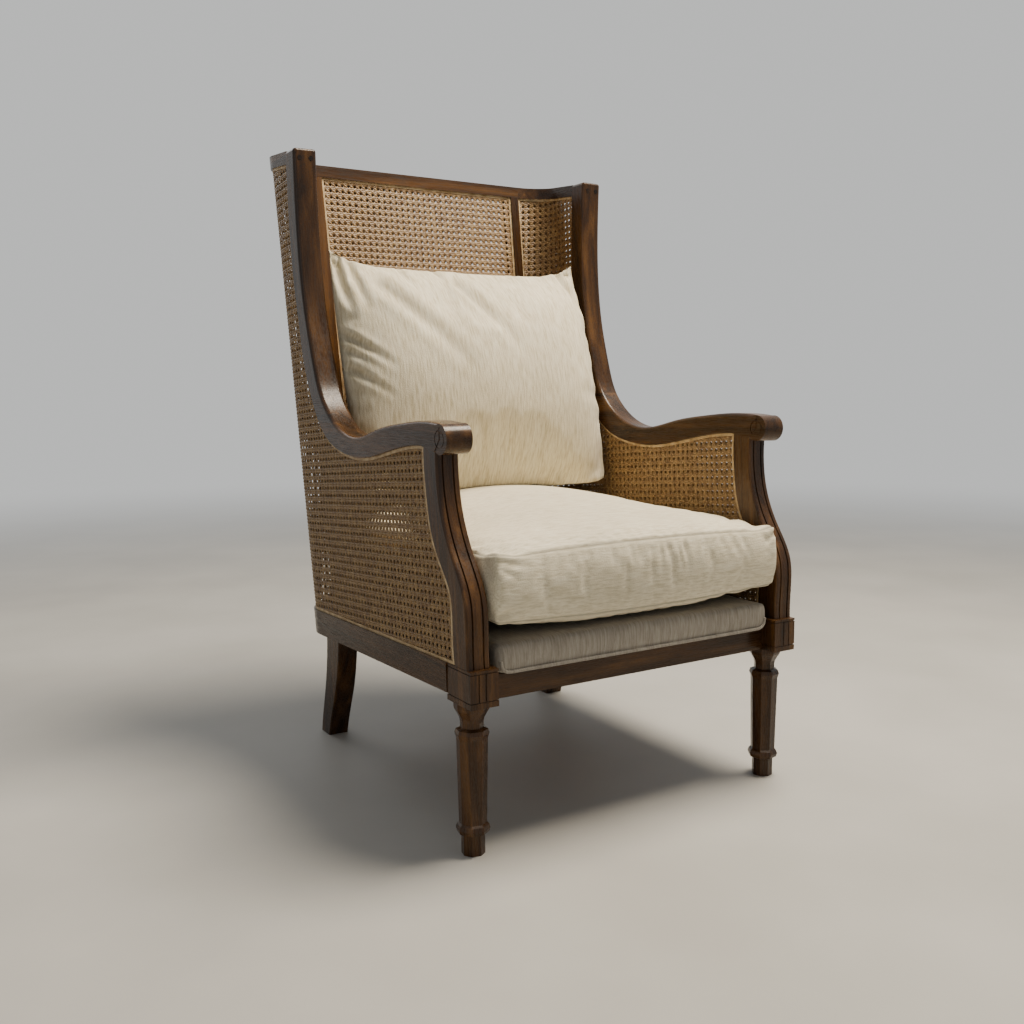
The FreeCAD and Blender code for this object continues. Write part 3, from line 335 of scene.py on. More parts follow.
def cane_cell():
    """One square of the weave, from hole to hole, lying flat."""
    half = CANE_PITCH / 2
    runs = []
    for shift in (-(STRAND_WIDE + PAIR_GAP) / 2, (STRAND_WIDE + PAIR_GAP) / 2):
        line = half + shift
        runs.append(((line, 0, 0), (line, half, -PAIR_RISE), STRAND_WIDE))
        runs.append(((line, half, -PAIR_RISE), (line, CANE_PITCH, 0), STRAND_WIDE))
        runs.append(((0, line, 0), (half, line, PAIR_RISE), STRAND_WIDE))
        runs.append(((half, line, PAIR_RISE), (CANE_PITCH, line, 0), STRAND_WIDE))
    over, under = DIAGONAL_RISE, -DIAGONAL_RISE
    runs.append(((0, half, under), (half, 0, over), DIAGONAL_WIDE))
    runs.append(((half, CANE_PITCH, over), (CANE_PITCH, half, under), DIAGONAL_WIDE))
    runs.append(((half, 0, under), (CANE_PITCH, half, over), DIAGONAL_WIDE))
    runs.append(((0, half, over), (half, CANE_PITCH, under), DIAGONAL_WIDE))
    corners, faces = [], []
    for run in runs:
        run_corners, run_faces = strand(*run)
        faces += [tuple(index + len(corners) for index in face) for face in run_faces]
        corners += run_corners
    return plain_mesh("cane_cell", corners, faces, smooth=False)


def weave_tree():
    """Geometry nodes that set out the weave's squares in rows and columns and join them to one cloth."""
    tree = bpy.data.node_groups.new("cane_weave", "GeometryNodeTree")
    for name, kind in (("Square", "NodeSocketObject"), ("Pitch", "NodeSocketFloat"),
                       ("Columns", "NodeSocketInt"), ("Rows", "NodeSocketInt"),
                       ("Material", "NodeSocketMaterial")):
        tree.interface.new_socket(name, in_out="INPUT", socket_type=kind)
    tree.interface.new_socket("Geometry", in_out="OUTPUT", socket_type="NodeSocketGeometry")
    given = tree.nodes.new("NodeGroupInput").outputs
    wide = add_node(tree, "ShaderNodeMath", {0: given["Pitch"], 1: given["Columns"]}, operation="MULTIPLY")
    tall = add_node(tree, "ShaderNodeMath", {0: given["Pitch"], 1: given["Rows"]}, operation="MULTIPLY")
    columns = add_node(tree, "ShaderNodeMath", {0: given["Columns"], 1: 1.0}, operation="ADD")
    rows = add_node(tree, "ShaderNodeMath", {0: given["Rows"], 1: 1.0}, operation="ADD")
    grid = add_node(tree, "GeometryNodeMeshGrid", {"Size X": wide.outputs[0], "Size Y": tall.outputs[0],
                                                   "Vertices X": columns.outputs[0],
                                                   "Vertices Y": rows.outputs[0]})
    square = add_node(tree, "GeometryNodeObjectInfo", {"Object": given["Square"]})
    laid = add_node(tree, "GeometryNodeInstanceOnPoints", {"Points": grid.outputs["Mesh"],
                                                           "Instance": square.outputs["Geometry"]})
    real = add_node(tree, "GeometryNodeRealizeInstances", {0: laid.outputs[0]})
    joined = add_node(tree, "GeometryNodeMergeByDistance", {"Geometry": real.outputs[0], "Distance": 0.00005})
    painted = add_node(tree, "GeometryNodeSetMaterial", {"Geometry": joined.outputs[0],
                                                         "Material": given["Material"]})
    tree.links.new(painted.outputs[0], tree.nodes.new("NodeGroupOutput").inputs["Geometry"])
    return tree


def flat_weave(name, columns, rows):
    """The weave as a plain flat mesh, centred on the origin."""
    holder = plain_mesh(name, [(0, 0, 0)], [])
    modifier = holder.modifiers.new("weave", "NODES")
    modifier.node_group = cane_weave
    inputs = {"Square": cane_square, "Pitch": CANE_PITCH, "Columns": columns, "Rows": rows,
              "Material": cane_fibre}
    for item in cane_weave.interface.items_tree:
        if item.in_out == "INPUT":
            modifier[item.identifier] = inputs[item.name]
    evaluated = holder.evaluated_get(bpy.context.evaluated_depsgraph_get())
    mesh = bpy.data.meshes.new_from_object(evaluated)
    holder.modifiers.remove(modifier)
    holder.data = mesh
    return holder


def points_of(mesh):
    flat = np.empty(len(mesh.vertices) * 3)
    mesh.vertices.foreach_get("co", flat)
    return flat.reshape(-1, 3)


def put_points(mesh, points):
    mesh.vertices.foreach_set("co", np.ascontiguousarray(points, dtype=float).ravel())
    mesh.update()


def corner_centre(level):
    """Where the bend of the wall has its centre at each height."""
    return CORNER_X + SIDE_LEAN * (level - WALL_LEVEL), CORNER_Y + BACK_RAKE * (level - WALL_LEVEL)


def onto_side(flat, middle, side, depth, outward):
    """Lays flat points on a side wall and round its bend."""
    u, w, out = flat.T
    along = middle[0] + u * math.cos(ROW_FALL) + w * math.sin(ROW_FALL)
    level = middle[1] - u * math.sin(ROW_FALL) + w * math.cos(ROW_FALL)
    centre_x, centre_y = corner_centre(level)
    mean_radius = CORNER_RADIUS - depth
    past = along - centre_y
    angle = np.clip(past / mean_radius, 0, math.pi / 2)
    straight = np.maximum(past - mean_radius * math.pi / 2, 0)
    radius = mean_radius + outward * out
    x = centre_x + radius * np.cos(angle) - straight
    y = centre_y + radius * np.sin(angle) + np.minimum(past, 0)
    return np.column_stack((side * x, y, level))


def onto_back(flat, middle, depth, outward):
    """Lays flat points on the back wall."""
    u, w, out = flat.T
    level = middle[1] + w * math.cos(RAKE)
    centre_y = corner_centre(level)[1]
    return np.column_stack((u + middle[0], centre_y + CORNER_RADIUS - depth + outward * out, level))


def trimmed(mesh, cad_node, turned_over):
    """Cuts the weave to the outline of its sheet: the squares' ends past the edge are drawn back to it."""
    sheet = nodes[cad_node].data
    tree = BVHTree.FromPolygons([v.co for v in sheet.vertices], [p.vertices for p in sheet.polygons])
    points = points_of(mesh)
    low, high = (np.array(corner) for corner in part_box(cad_node))
    near = np.all((points > low - TRIM_MARGIN) & (points < high + TRIM_MARGIN), axis=1)
    inside = np.zeros(len(points), dtype=bool)
    for index in np.flatnonzero(near):
        spot, _, _, gap = tree.find_nearest(points[index])
        inside[index] = gap < TRIM
        if not inside[index]:
            points[index] = spot
    faces = [tuple(p.vertices) for p in mesh.polygons]
    kept = [f for f in faces if any(inside[i] for i in f) and all(near[i] for i in f)]
    if turned_over:
        kept = [tuple(reversed(f)) for f in kept]
    used = sorted({i for f in kept for i in f})
    place = {old: new for new, old in enumerate(used)}
    return points[used], [tuple(place[i] for i in f) for f in kept]


cane_square = cane_cell()
cane_weave = weave_tree()
for skin, outward in (("outer", 1), ("inner", -1)):
    for place, side in (("left", -1), ("right", 1), ("back", 0)):
        cad_node = f"cane_{skin}_{place}"
        cloth = flat_weave("flat_weave", *(SIDE_CELLS if side else BACK_CELLS))
        depth = SKIN_DEPTH[skin]
        over, up, row_share = INNER_SETTING[place] if skin == "inner" else (0, 0, 1)
        flat = points_of(cloth.data) * (1, row_share, 1)
        if side:
            middle = (SIDE_MIDDLE[0] + over, SIDE_MIDDLE[1] + up)
            put_points(cloth.data, onto_side(flat, middle, side, depth, outward))
        else:
            middle = (BACK_MIDDLE[0] + over, BACK_MIDDLE[1] + up)
            put_points(cloth.data, onto_back(flat, middle, depth, outward))
        turned_over = side * outward < 0 if side else outward > 0
        points, faces = trimmed(cloth.data, cad_node, turned_over)
        bpy.data.objects.remove(cloth)
        panel = plain_mesh(f"woven_{cad_node}", points, faces, smooth=False)
        panel.data.materials.append(cane_fibre)
        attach(panel, "frame")
        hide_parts(cad_node)
bpy.data.objects.remove(cane_square)

# Reed: a round rattan spline glued in the groove round each cane panel. It holds the cane's edge down. It was
# left unstained, so it shows as a pale, nearly matt line between the cane and the frame.
reed_fibre = rattan("rattan_spline", 60.0, 3.0, (0.35, "#a08258"), (0.65, "#cdb48a"), Roughness=0.5)[0]
for skin in ("outer", "inner"):
    for place in ("left", "right", "back"):
        finish_node(f"reed_{skin}_{place}", reed_fibre)

# Upholstered deck: webbing and foam under a greige chenille cover, pulled down over the front rail. The
# cover's slubs run front to back over the top and straight down the front edge. Chenille is woven of tufted
# yarn: the eye sees a matt pile flecked paler and darker, with a faint bloom where it turns away.
DECK_HALF = 0.258
DECK_FRONT = -0.372
DECK_DEEP = 0.540
DECK_LOW = 0.2603
DECK_HEIGHT = 0.043
DECK_BULGE = 0.004
DECK_CROWN = 0.005
DECK_BELLY = 0.003
DECK_ROWS = ((0, 1, 0.5, 0.5), (0.25, 0.2, 0.9, 0.9), (0.5, 0, 1, 1), (0.75, 0.2, 0.9, 0.9), (1, 1, 0.5, 0.5))
DECK_SOFT_ROUNDS = 5
# At the front corners the lower edge turns up, over the last shares of the half width and this far back.
DECK_CORNER_RISE = 0.009
TURN_FROM_SHARE = 0.95
TURN_OVER_SHARE = 0.05
TURN_DEEP = 0.01
BOXING_CORNER_SHARE = 0.7
# The cover pulls in and out along its front: waves by how tight they are, where they start and their share.
DECK_PULL = 0.0012
DECK_PULL_REACH = 0.03
DECK_PULL_WAVES = ((61, 0, 0.4), (143, 1, 0.35))
DECK_SEAM_RISE = 0.0065
DECK_SEAM_WIDE = 0.0013
DECK_SEAM_SHADE = 0.6
COVER_SPACING = 0.006
SEWN_WITHIN = 0.00002
REST_CLEAR = 0.0004
SLUB_MM = 1.3
PILE_MM = 0.9
SLUB_RUN_SHARE = 0.10
SLUB_WANDER = 0.006


def chenille(name, fast_axes, pale, middle, shade):
    """Slubby pile fabric. The slubs are fine along the fast axes and long along the others. Points marked as
    lying in a seam or fold get painted shade.
    """
    material, tree, shader = new_material(name, Roughness=0.92, IOR=1.45, Sheen_Weight=0.15,
                                          Sheen_Roughness=0.5)
    place = add_node(tree, "ShaderNodeTexCoord").outputs["Object"]
    stretch = tuple(1.0 if axis in fast_axes else SLUB_RUN_SHARE for axis in "xyz")
    wavy = add_node(tree, "ShaderNodeTexNoise", {"Vector": place, "Scale": 14.0, "Detail": 1.0})
    bent = add_node(tree, "ShaderNodeVectorMath", {0: wavy.outputs["Color"], "Scale": SLUB_WANDER},
                    operation="SCALE")
    moved = add_node(tree, "ShaderNodeVectorMath", {0: place, 1: bent.outputs[0]}, operation="ADD")
    stretched = add_node(tree, "ShaderNodeMapping", {"Vector": moved.outputs[0], "Scale": stretch})
    slubs = add_node(tree, "ShaderNodeTexNoise", {"Vector": stretched.outputs[0], "Scale": 500 / SLUB_MM,
                                                  "Detail": 3.0, "Roughness": 0.65})
    pile = add_node(tree, "ShaderNodeTexNoise", {"Vector": place, "Scale": 500 / PILE_MM, "Detail": 2.0})
    broad = add_node(tree, "ShaderNodeTexNoise", {"Vector": place, "Scale": 6.0, "Detail": 3.0})
    ramp = add_node(tree, "ShaderNodeValToRGB", {"Fac": slubs.outputs["Fac"]})
    stops = ramp.color_ramp.elements
    stops[0].position = 0.33
    stops[0].color = linear(shade)
    stops[1].position = 0.66
    stops[1].color = linear(pale)
    stops.new(0.5).color = linear(middle)
    cloud = add_node(tree, "ShaderNodeMapRange", {"Value": broad.outputs["Fac"], "From Min": 0.3,
                                                  "From Max": 0.7, "To Min": 0.93, "To Max": 1.05})
    # Painted shade: the colour is darkened, down to 0.45 of itself, by the painted crease shade kept on each
    # point, standing in for the shade in seams and folds.
    painted_crease_shade = add_node(tree, "ShaderNodeAttribute", attribute_name="painted_crease_shade")
    painted_shade_factor = add_node(tree, "ShaderNodeMapRange", {"Value": painted_crease_shade.outputs["Fac"], "To Min": 1.0,
                                                    "To Max": 0.45})
    tone = add_node(tree, "ShaderNodeMath", {0: cloud.outputs[0], 1: painted_shade_factor.outputs[0]},
                    operation="MULTIPLY")
    colour = add_node(tree, "ShaderNodeVectorMath", {0: ramp.outputs["Color"], "Scale": tone.outputs[0]},
                      operation="SCALE")
    tree.links.new(colour.outputs[0], shader.inputs["Base Color"])
    height = add_node(tree, "ShaderNodeMath", {0: slubs.outputs["Fac"], 1: pile.outputs["Fac"]},
                      operation="ADD")
    bump = add_node(tree, "ShaderNodeBump", {"Height": height.outputs[0], "Strength": 0.45,
                                             "Distance": 0.0012})
    tree.links.new(bump.outputs[0], shader.inputs["Normal"])
    return material


def evaluated_mesh(piece):
    """The piece's mesh with its modifiers applied, and the modifiers removed."""
    mesh = bpy.data.meshes.new_from_object(piece.evaluated_get(bpy.context.evaluated_depsgraph_get()))
    piece.modifiers.clear()
    piece.data = mesh
    return mesh


def through(rows, column, at):
    """A smooth curve through one column of the rows, whose first column is the place."""
    places = np.array([row[0] for row in rows], dtype=float)
    values = np.array([row[column] for row in rows], dtype=float)
    slopes = np.gradient(values, places)
    step = np.clip(np.searchsorted(places, at, side="right") - 1, 0, len(places) - 2)
    gap = places[step + 1] - places[step]
    t = (at - places[step]) / gap
    return ((1 + 2 * t) * (1 - t) ** 2 * values[step] + t * (1 - t) ** 2 * gap * slopes[step]
            + t * t * (3 - 2 * t) * values[step + 1] + t * t * (t - 1) * gap * slopes[step + 1])


def sewn_cover(name, panels, seam_panels):
    """One closed cover sewn from panels, each a grid of points. The seam panels have their rims marked."""
    shape = bmesh.new()
    seam = shape.verts.layers.float.new("seam")
    for number, panel in enumerate(panels):
        rows, columns = panel.shape[:2]
        made = [[shape.verts.new(panel[r, c]) for c in range(columns)] for r in range(rows)]
        for r in range(rows - 1):
            for c in range(columns - 1):
                shape.faces.new((made[r][c], made[r][c + 1], made[r + 1][c + 1], made[r + 1][c]))
        if number in seam_panels:
            for line in (made[0], made[-1], [row[0] for row in made], [row[-1] for row in made]):
                for vertex in line:
                    vertex[seam] = 1
    doubles = bmesh.ops.find_doubles(shape, verts=shape.verts, dist=SEWN_WITHIN)["targetmap"]
    for gone, kept in doubles.items():
        kept[seam] = max(kept[seam], gone[seam])
    bmesh.ops.weld_verts(shape, targetmap=doubles)
    bmesh.ops.recalc_face_normals(shape, faces=shape.faces)
    if shape.calc_volume(signed=True) < 0:
        bmesh.ops.reverse_faces(shape, faces=shape.faces)
    mesh = bpy.data.meshes.new(name)
    shape.to_mesh(mesh)
    shape.free()
    piece = bpy.data.objects.new(name, mesh)
    bpy.context.scene.collection.objects.link(piece)
    return piece


def boxed_panels(rows, half, front, deep, low, tall, bulge, front_bulge, crown, belly, corner_rise=0):
    """Top, bottom and the boxing round them. From front to rear, the rows give the place and the shares of
    the bulge, the crown and the belly."""
    columns = int(2 * half / COVER_SPACING)
    courses = int(deep / COVER_SPACING)
    u = np.linspace(-1, 1, columns)[None, :]
    v = np.linspace(0, 1, courses)[:, None]
    wide = half - through(rows, 1, v) * bulge
    x = u * wide
    y = front + v * deep + 0 * u
    top = np.dstack((x, y, low + tall + crown * through(rows, 2, v) * (1 - u ** 2)))
    bottom = np.dstack((x, y, low - belly * through(rows, 3, v) * (1 - u ** 2)))
    lift = corner_rise * np.clip((np.abs(u) - TURN_FROM_SHARE) / TURN_OVER_SHARE, 0, 1) ** 2
    bottom[:, :, 2] += lift * np.clip(1 - v * deep / TURN_DEEP, 0, 1)

    def rim(panel):
        return np.concatenate((panel[0, :-1], panel[:-1, -1], panel[-1, :0:-1], panel[::-1, 0]))

    low_rim, top_rim = rim(bottom), rim(top)
    outward = np.concatenate((np.tile((0, -front_bulge, 0), (columns - 1, 1)),
                              np.tile((bulge, 0, 0), (courses - 1, 1)),
                              np.tile((0, bulge, 0), (columns - 1, 1)),
                              np.tile((-bulge, 0, 0), (courses, 1))))
    across, ahead = bulge * BOXING_CORNER_SHARE, front_bulge * BOXING_CORNER_SHARE
    outward[0] = outward[-1] = (-across, -ahead, 0)
    outward[columns - 1] = (across, -ahead, 0)
    share = np.linspace(0, 1, int(tall / COVER_SPACING) + 2)[:, None, None]
    boxing = low_rim + (top_rim - low_rim) * share + outward * (1 - (2 * share - 1) ** 2)
    return [top, bottom, boxing]


def filled_out(piece, cad_node, slack, proud, rear_proud):
    """Brings every point out to the CAD form, less a little slack, and in to what it may stand proud."""
    form = surface_of(nodes[cad_node])
    points = points_of(piece.data)
    for index, point in enumerate(points):
        spot, outward, _, gap = form.find_nearest(point)
        if (Vector(point) - spot).dot(outward) < 0:
            gap = -gap
        most = rear_proud if outward.y > 0.3 else proud
        if not -slack < gap < most:
            points[index] = spot + outward * min(max(gap, -slack), most)
    put_points(piece.data, points)


def normals_of(mesh):
    flat = np.empty(len(mesh.vertices) * 3)
    mesh.vertices.foreach_get("normal", flat)
    return flat.reshape(-1, 3)


def seam_of(mesh):
    """How near each point is to a seam, from 0 to 1."""
    values = np.empty(len(mesh.vertices))
    mesh.attributes["seam"].data.foreach_get("value", values)
    return values


def paint_crease_shade(mesh, amount):
    """Keeps how deep each point lies in a seam or fold, for the material to darken as painted shade."""
    attribute = mesh.attributes.new("painted_crease_shade", "FLOAT", "POINT")
    attribute.data.foreach_set("value", np.clip(amount, 0, 1))


def surface_of(piece):
    shape = piece.data
    return BVHTree.FromPolygons([v.co for v in shape.vertices], [p.vertices for p in shape.polygons])


def rest_on(points, below, reach_z, drawn_forward=(0,)):
    """Lifts low points off whatever the piece lies on, also where it may be drawn forward."""
    for index in np.flatnonzero(points[:, 2] < reach_z):
        for travel in drawn_forward:
            above = Vector((points[index][0], points[index][1] - travel, 1))
            spot = below.ray_cast(above, Vector((0, 0, -1)))[0]
            if spot is not None:
                points[index][2] = max(points[index][2], spot.z + REST_CLEAR)


def softened(piece, rounds):
    step = piece.modifiers.new("rounding", "SMOOTH")
    step.factor = 0.5
    step.iterations = rounds
    evaluated_mesh(piece)


def subdivided(piece):
    step = piece.modifiers.new("finish", "SUBSURF")
    step.levels = 1
    step.render_levels = 1
    evaluated_mesh(piece)


def finish_soft(piece, cad_node, body, material):
    piece.data.materials.clear()
    piece.data.materials.append(material)
    piece.data.shade_smooth()
    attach(piece, body)
    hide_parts(cad_node)


deck_fabric = chenille("greige_chenille", "x", "#a9a398", "#9b9489", "#8a8377")
deck_panels = boxed_panels(DECK_ROWS, DECK_HALF, DECK_FRONT, DECK_DEEP, DECK_LOW, DECK_HEIGHT, DECK_BULGE,
                           DECK_BULGE, DECK_CROWN, DECK_BELLY, DECK_CORNER_RISE)
deck = sewn_cover("deck_cover", deck_panels, ())
softened(deck, DECK_SOFT_ROUNDS)
subdivided(deck)
points = points_of(deck.data)
pull = sum(np.sin(points[:, 0] * tight + start) * share for tight, start, share in DECK_PULL_WAVES)
at_front = np.clip((DECK_FRONT + DECK_PULL_REACH - points[:, 1]) / DECK_PULL_REACH, 0, 1)
points[:, 1] += DECK_PULL * pull * at_front
put_points(deck.data, points)
# Painted shade: a dark line along the deck's front just above its lower seam, standing in for the shade there.
above_seam = (points[:, 2] - DECK_LOW - DECK_SEAM_RISE) / DECK_SEAM_WIDE
paint_crease_shade(deck.data, at_front * np.exp(-above_seam ** 2) * DECK_SEAM_SHADE)
finish_soft(deck, "deck_pad", "frame", deck_fabric)

# Piping: a cord in a bias strip of the same cover, sewn along the deck's lower front edge and turned up round
# its corners. Each stop gives the share of the deck's half width and the height above the straight run.
PIPING_RADIUS = 0.0026
PIPING_FORWARD_SLIP = 0.0008
PIPING_STOPS = ((-1, 0.0170), (-1, 0.0100), (-0.985, 0.0035), (-0.955, 0.0002), (-0.9, 0), (-0.5, 0), (0, 0),
                (0.5, 0), (0.9, 0), (0.955, 0.0002), (0.985, 0.0035), (1, 0.0100), (1, 0.0170))
piping_low, piping_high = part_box("deck_piping")
piping_line = (piping_low + piping_high) / 2
path = bpy.data.curves.new("deck_piping_path", "CURVE")
path.dimensions = "3D"
path.bevel_depth = PIPING_RADIUS
path.bevel_resolution = 3
path.use_fill_caps = True
spline = path.splines.new("NURBS")
spline.points.add(len(PIPING_STOPS) - 1)
reach = DECK_HALF - DECK_BULGE - PIPING_RADIUS
for point, (across, up) in zip(spline.points, PIPING_STOPS):
    point.co = (across * reach, piping_line.y + PIPING_FORWARD_SLIP, piping_line.z + up, 1)
spline.order_u = 3
spline.use_endpoint_u = True
holder = bpy.data.objects.new("deck_piping_path", path)
bpy.context.scene.collection.objects.link(holder)
piping_mesh = bpy.data.meshes.new_from_object(holder.evaluated_get(bpy.context.evaluated_depsgraph_get()))
bpy.data.objects.remove(holder)
piping = bpy.data.objects.new("deck_piping_cord", piping_mesh)
bpy.context.scene.collection.objects.link(piping)
finish_soft(piping, "deck_piping", "frame", deck_fabric)

# Loose seat cushion: a boxed cover of cream chenille over a feather-wrapped foam core. Flat seams join the
# top and the bottom to the boxing, which puckers where the seam was eased. The slubs run across the chair.
SEAT_HALF = 0.265
SEAT_FRONT = -0.381
SEAT_DEEP = 0.599
SEAT_LOW = 0.3346
SEAT_BOXING = 0.092
SEAT_BULGE = 0.004
SEAT_FRONT_BULGE = 0.006
SEAT_CROWN = 0.042
SEAT_BELLY = 0.026
SEAT_ROWS = ((0, 1, 0.15, 0.28), (0.24, 0.3, 0.62, 0.80), (0.48, 0, 0.90, 0.98), (0.73, 0.3, 1, 0.90),
             (1, 1.8, 0.34, 0.32))
SWELL_FRAMES = 20
SEAT_PRESSURE = 4.0
SEAT_CAP = 0.010
SEAT_SLACK = 0.003
SEAT_PROUD = 0.022
SEAT_GROWTH = 0.025
REAR_PROUD = 0.001
SEAM_DEEP = 0.0022
SEAM_SHADE = 0.7
SEAT_SHADE_DEEP = 0.006
SEAT_SHADE_MOST = 0.35
SEAT_TRAVEL = 0.12
SEAT_TRAVEL_STEPS = 7
SEAT_REST_REACH = 0.006
# Each fold runs from one point to another in (x, z), with its half width and depth. It fades towards its end.
SEAT_FOLDS = ((0.004, 0.416, 0.002, 0.366, 0.0045, 0.0015), (0.022, 0.412, 0.020, 0.378, 0.003, 0.0010),
              (0.038, 0.416, 0.044, 0.362, 0.0045, 0.0016), (0.056, 0.413, 0.060, 0.382, 0.003, 0.0010),
              (0.068, 0.416, 0.076, 0.370, 0.0045, 0.0015), (0.104, 0.416, 0.108, 0.390, 0.004, 0.0010),
              (-0.262, 0.422, -0.215, 0.412, 0.0045, 0.0025), (-0.262, 0.414, -0.232, 0.398, 0.004, 0.002),
              (0.262, 0.420, 0.232, 0.405, 0.004, 0.002), (-0.258, 0.345, -0.225, 0.352, 0.005, 0.0018))
FOLD_LIP_SHARE = 0.45
FOLD_FADE_FROM = 1.15
# The seam's front corners stand up a little, as sewn corners do.
CORNER_PEAK = 0.006
CORNER_REACH = 0.024


def swell(piece, pressure, cap, growth):
    """Blows the cover up between its seams with Blender's cloth, and limits how far each point may travel."""
    start = points_of(piece.data)
    held = piece.vertex_groups.new(name="seam")
    held.add([int(i) for i in np.flatnonzero(seam_of(piece.data) > 0.5)], 1.0, "REPLACE")
    cloth = piece.modifiers.new("swell", "CLOTH")
    settings = cloth.settings
    settings.quality = 5
    settings.mass = 0.3
    settings.tension_stiffness = 15
    settings.compression_stiffness = 15
    settings.shear_stiffness = 5
    settings.bending_stiffness = 0.5
    settings.use_pressure = True
    settings.uniform_pressure_force = pressure
    settings.shrink_min = -growth
    settings.vertex_group_mass = "seam"
    settings.effector_weights.gravity = 0
    for step in range(1, SWELL_FRAMES + 1):
        bpy.context.scene.frame_set(step)
    evaluated_mesh(piece)
    bpy.context.scene.frame_set(1)
    piece.vertex_groups.clear()
    travel = points_of(piece.data) - start
    reach = np.linalg.norm(travel, axis=1)
    put_points(piece.data, start + travel * np.minimum(1, cap / np.maximum(reach, 1e-9))[:, None])


def fold_depths(points, facing, folds):
    """How deep each fold presses each point that faces the front."""
    depth = np.zeros(len(points))
    for x0, z0, x1, z1, half_wide, deep in folds:
        run = np.array((x1 - x0, z1 - z0))
        from_start = points[:, (0, 2)] - (x0, z0)
        share = from_start @ run / (run @ run)
        aside = np.linalg.norm(from_start - np.clip(share, 0, 1)[:, None] * run, axis=1)
        fade = np.clip(FOLD_FADE_FROM - np.clip(share, 0, 1), 0, 1)
        groove = np.exp(-(aside / half_wide) ** 2)
        groove -= FOLD_LIP_SHARE * np.exp(-((aside - 2 * half_wide) / half_wide) ** 2)
        depth += deep * fade * groove * facing
    return depth


cushion_fabric = chenille("cream_chenille", "yz", "#f2ead2", "#e6dcc1", "#d2c7a9")
seat_panels = boxed_panels(SEAT_ROWS, SEAT_HALF, SEAT_FRONT, SEAT_DEEP, SEAT_LOW, SEAT_BOXING, SEAT_BULGE,
                           SEAT_FRONT_BULGE, SEAT_CROWN, SEAT_BELLY)
cushion = sewn_cover("seat_cushion_cover", seat_panels, (0, 1))
points = points_of(cushion.data)
for side in (-1, 1):
    corner = np.array((side * SEAT_HALF, SEAT_FRONT, SEAT_LOW + SEAT_BOXING))
    near = np.exp(-np.sum((points - corner) ** 2, axis=1) / CORNER_REACH ** 2)
    points[:, 2] += near * CORNER_PEAK
put_points(cushion.data, points)
swell(cushion, SEAT_PRESSURE, SEAT_CAP, SEAT_GROWTH)
filled_out(cushion, "seat_cushion", SEAT_SLACK, SEAT_PROUD, REAR_PROUD)
subdivided(cushion)
points = points_of(cushion.data)
normals = normals_of(cushion.data)
seams = seam_of(cushion.data) ** 2
facing = np.clip(-normals[:, 1] * 2 - 0.4, 0, 1)
depth = SEAM_DEEP * seams + fold_depths(points, facing, SEAT_FOLDS)
points = points - normals * depth[:, None]
low, high = (np.array(corner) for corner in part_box("seat_cushion"))
points[:, 0] = np.clip(points[:, 0], low[0], high[0])
points[:, 1] = np.minimum(points[:, 1], high[1])
rest_on(points, surface_of(deck), low[2] + SEAT_REST_REACH, np.linspace(0, SEAT_TRAVEL, SEAT_TRAVEL_STEPS))
put_points(cushion.data, points)
# Painted shade: the seams and the folds are darkened in the colour, standing in for the shade in them.
paint_crease_shade(cushion.data, seams * SEAM_SHADE + np.clip(depth / SEAT_SHADE_DEEP, 0, SEAT_SHADE_MOST))
finish_soft(cushion, "seat_cushion", "seat_cushion", cushion_fabric)

# Loose back cushion: a knife-edged pillow of the same chenille, filled with feather and fibre, so that its
# corners stand up as pinched ears and folds run in from them. The slubs run up the chair.
PILLOW_HALF = 0.266
PILLOW_TALL = 0.425
PILLOW_EAR = 0.036
PILLOW_CORNER = 0.030
PILLOW_FRONT_SWELL = 0.088
PILLOW_REAR_SWELL = 0.150
PILLOW_LEAN = math.radians(16.2)
PILLOW_FOOT = (0.0680, 0.4689)
# Each row gives the place across, the share of the swell, and how far the ear stands up.
PILLOW_ROWS = ((-1, 0, 1), (-0.985, 0.12, 0.92), (-0.93, 0.34, 0.62), (-0.72, 0.74, 0.16),
               (-0.36, 0.95, 0.02), (0, 1, 0), (0.36, 0.95, 0.02),
               (0.72, 0.74, 0.16), (0.93, 0.34, 0.62), (0.985, 0.12, 0.92), (1, 0, 1))
PILLOW_GRID = (96, 78)
PILLOW_PRESSURE = 4.0
PILLOW_CAP = 0.014
PILLOW_SLACK = 0.0015
PILLOW_PROUD = 0.012
PILLOW_TOP_PROUD = 0.004
PILLOW_GROWTH = 0.035
PILLOW_REST_REACH = 0.03
PILLOW_SOFT_ROUNDS = 8
PILLOW_SEAM_SHADE = 0.5
PILLOW_SHADE_DEEP = 0.012
PILLOW_SHADE_MOST = 0.4
PILLOW_FOLDS = ((-0.185, 0.840, -0.060, 0.700, 0.013, 0.0060), (-0.028, 0.850, 0.050, 0.730, 0.011, 0.0060),
                (-0.264, 0.752, -0.200, 0.700, 0.0065, 0.0050), (-0.263, 0.726, -0.222, 0.695, 0.005, 0.0036),
                (-0.258, 0.690, -0.208, 0.648, 0.006, 0.0040), (-0.252, 0.885, -0.246, 0.780, 0.006, 0.0065),
                (-0.228, 0.878, -0.222, 0.800, 0.006, 0.0050), (0.222, 0.880, 0.252, 0.815, 0.007, 0.0055),
                (0.244, 0.900, 0.236, 0.840, 0.005, 0.0050), (-0.132, 0.872, -0.128, 0.836, 0.006, 0.0036),
                (-0.060, 0.872, -0.052, 0.842, 0.005, 0.0030), (0.118, 0.872, 0.124, 0.838, 0.006, 0.0030),
                (0.180, 0.872, 0.170, 0.842, 0.005, 0.0030), (0.144, 0.482, 0.138, 0.510, 0.006, 0.0030),
                (-0.120, 0.486, -0.124, 0.520, 0.007, 0.0030), (0.250, 0.640, 0.190, 0.655, 0.012, 0.0028))


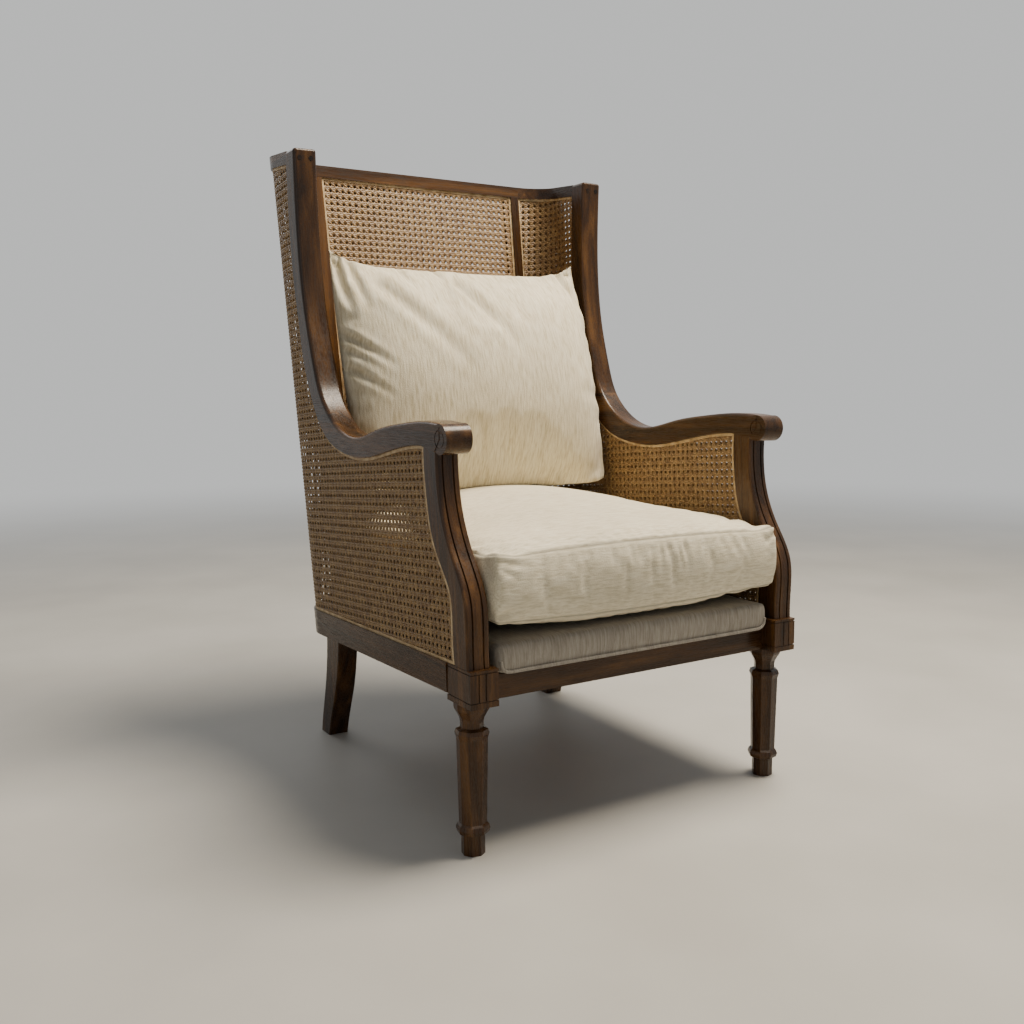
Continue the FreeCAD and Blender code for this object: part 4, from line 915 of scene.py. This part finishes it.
def pillow_panel(side):
    """The front panel (-1) or the rear panel (1) of the pillow, as a grid of points."""
    u = np.linspace(-1, 1, PILLOW_GRID[0])[None, :]
    t = np.linspace(-1, 1, PILLOW_GRID[1])[:, None]
    chord = (PILLOW_TALL + PILLOW_EAR * through(PILLOW_ROWS, 2, u)) / 2
    swell_full = PILLOW_FRONT_SWELL if side < 0 else PILLOW_REAR_SWELL
    sagitta = np.maximum(swell_full * through(PILLOW_ROWS, 1, u), 1e-5)
    radius = (chord ** 2 + sagitta ** 2) / (2 * sagitta)
    half_angle = np.arctan2(chord, radius - sagitta)
    up = chord + radius * np.sin(half_angle * t)
    x = u * PILLOW_HALF + 0 * t
    # The two lower corners are rounded: their squares are drawn in to quarter discs.
    into_x = np.maximum(np.abs(x) - (PILLOW_HALF - PILLOW_CORNER), 0)
    into_z = np.maximum(PILLOW_CORNER - up, 0)
    draw_in = np.maximum(into_x, into_z) / np.maximum(np.hypot(into_x, into_z), 1e-9)
    x -= np.sign(x) * into_x * (1 - draw_in)
    up += into_z * (1 - draw_in)
    out = side * (radius * np.cos(half_angle * t) - (radius - sagitta))
    y = PILLOW_FOOT[0] + out * math.cos(PILLOW_LEAN) + up * math.sin(PILLOW_LEAN)
    z = PILLOW_FOOT[1] - out * math.sin(PILLOW_LEAN) + up * math.cos(PILLOW_LEAN)
    return np.dstack((x, y, z))


pillow_fabric = chenille("cream_chenille_upright", "x", "#f1e9d0", "#e4d9bd", "#cbbe9b")
pillow = sewn_cover("back_cushion_cover", [pillow_panel(-1), pillow_panel(1)], (0, 1))
swell(pillow, PILLOW_PRESSURE, PILLOW_CAP, PILLOW_GROWTH)
softened(pillow, PILLOW_SOFT_ROUNDS)
filled_out(pillow, "back_cushion", PILLOW_SLACK, PILLOW_PROUD, REAR_PROUD)
subdivided(pillow)
points = points_of(pillow.data)
normals = normals_of(pillow.data)
facing = np.clip(-normals[:, 1] * 2 + 0.1, 0, 1)
depth = fold_depths(points, facing, PILLOW_FOLDS)
points = points - normals * depth[:, None]
low, high = (np.array(corner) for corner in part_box("back_cushion"))
points = np.clip(points, low - (0, PILLOW_PROUD, 0), high + (0, 0, PILLOW_TOP_PROUD))
rest_on(points, surface_of(cushion), low[2] + PILLOW_REST_REACH)
put_points(pillow.data, points)
# Painted shade: the folds, and faintly the seam, are darkened in the colour, standing in for the shade in
# them.
shade = np.clip(depth / PILLOW_SHADE_DEEP, 0, PILLOW_SHADE_MOST)
paint_crease_shade(pillow.data, shade + PILLOW_SEAM_SHADE * seam_of(pillow.data) ** 3)
finish_soft(pillow, "back_cushion", "back_cushion", pillow_fabric)
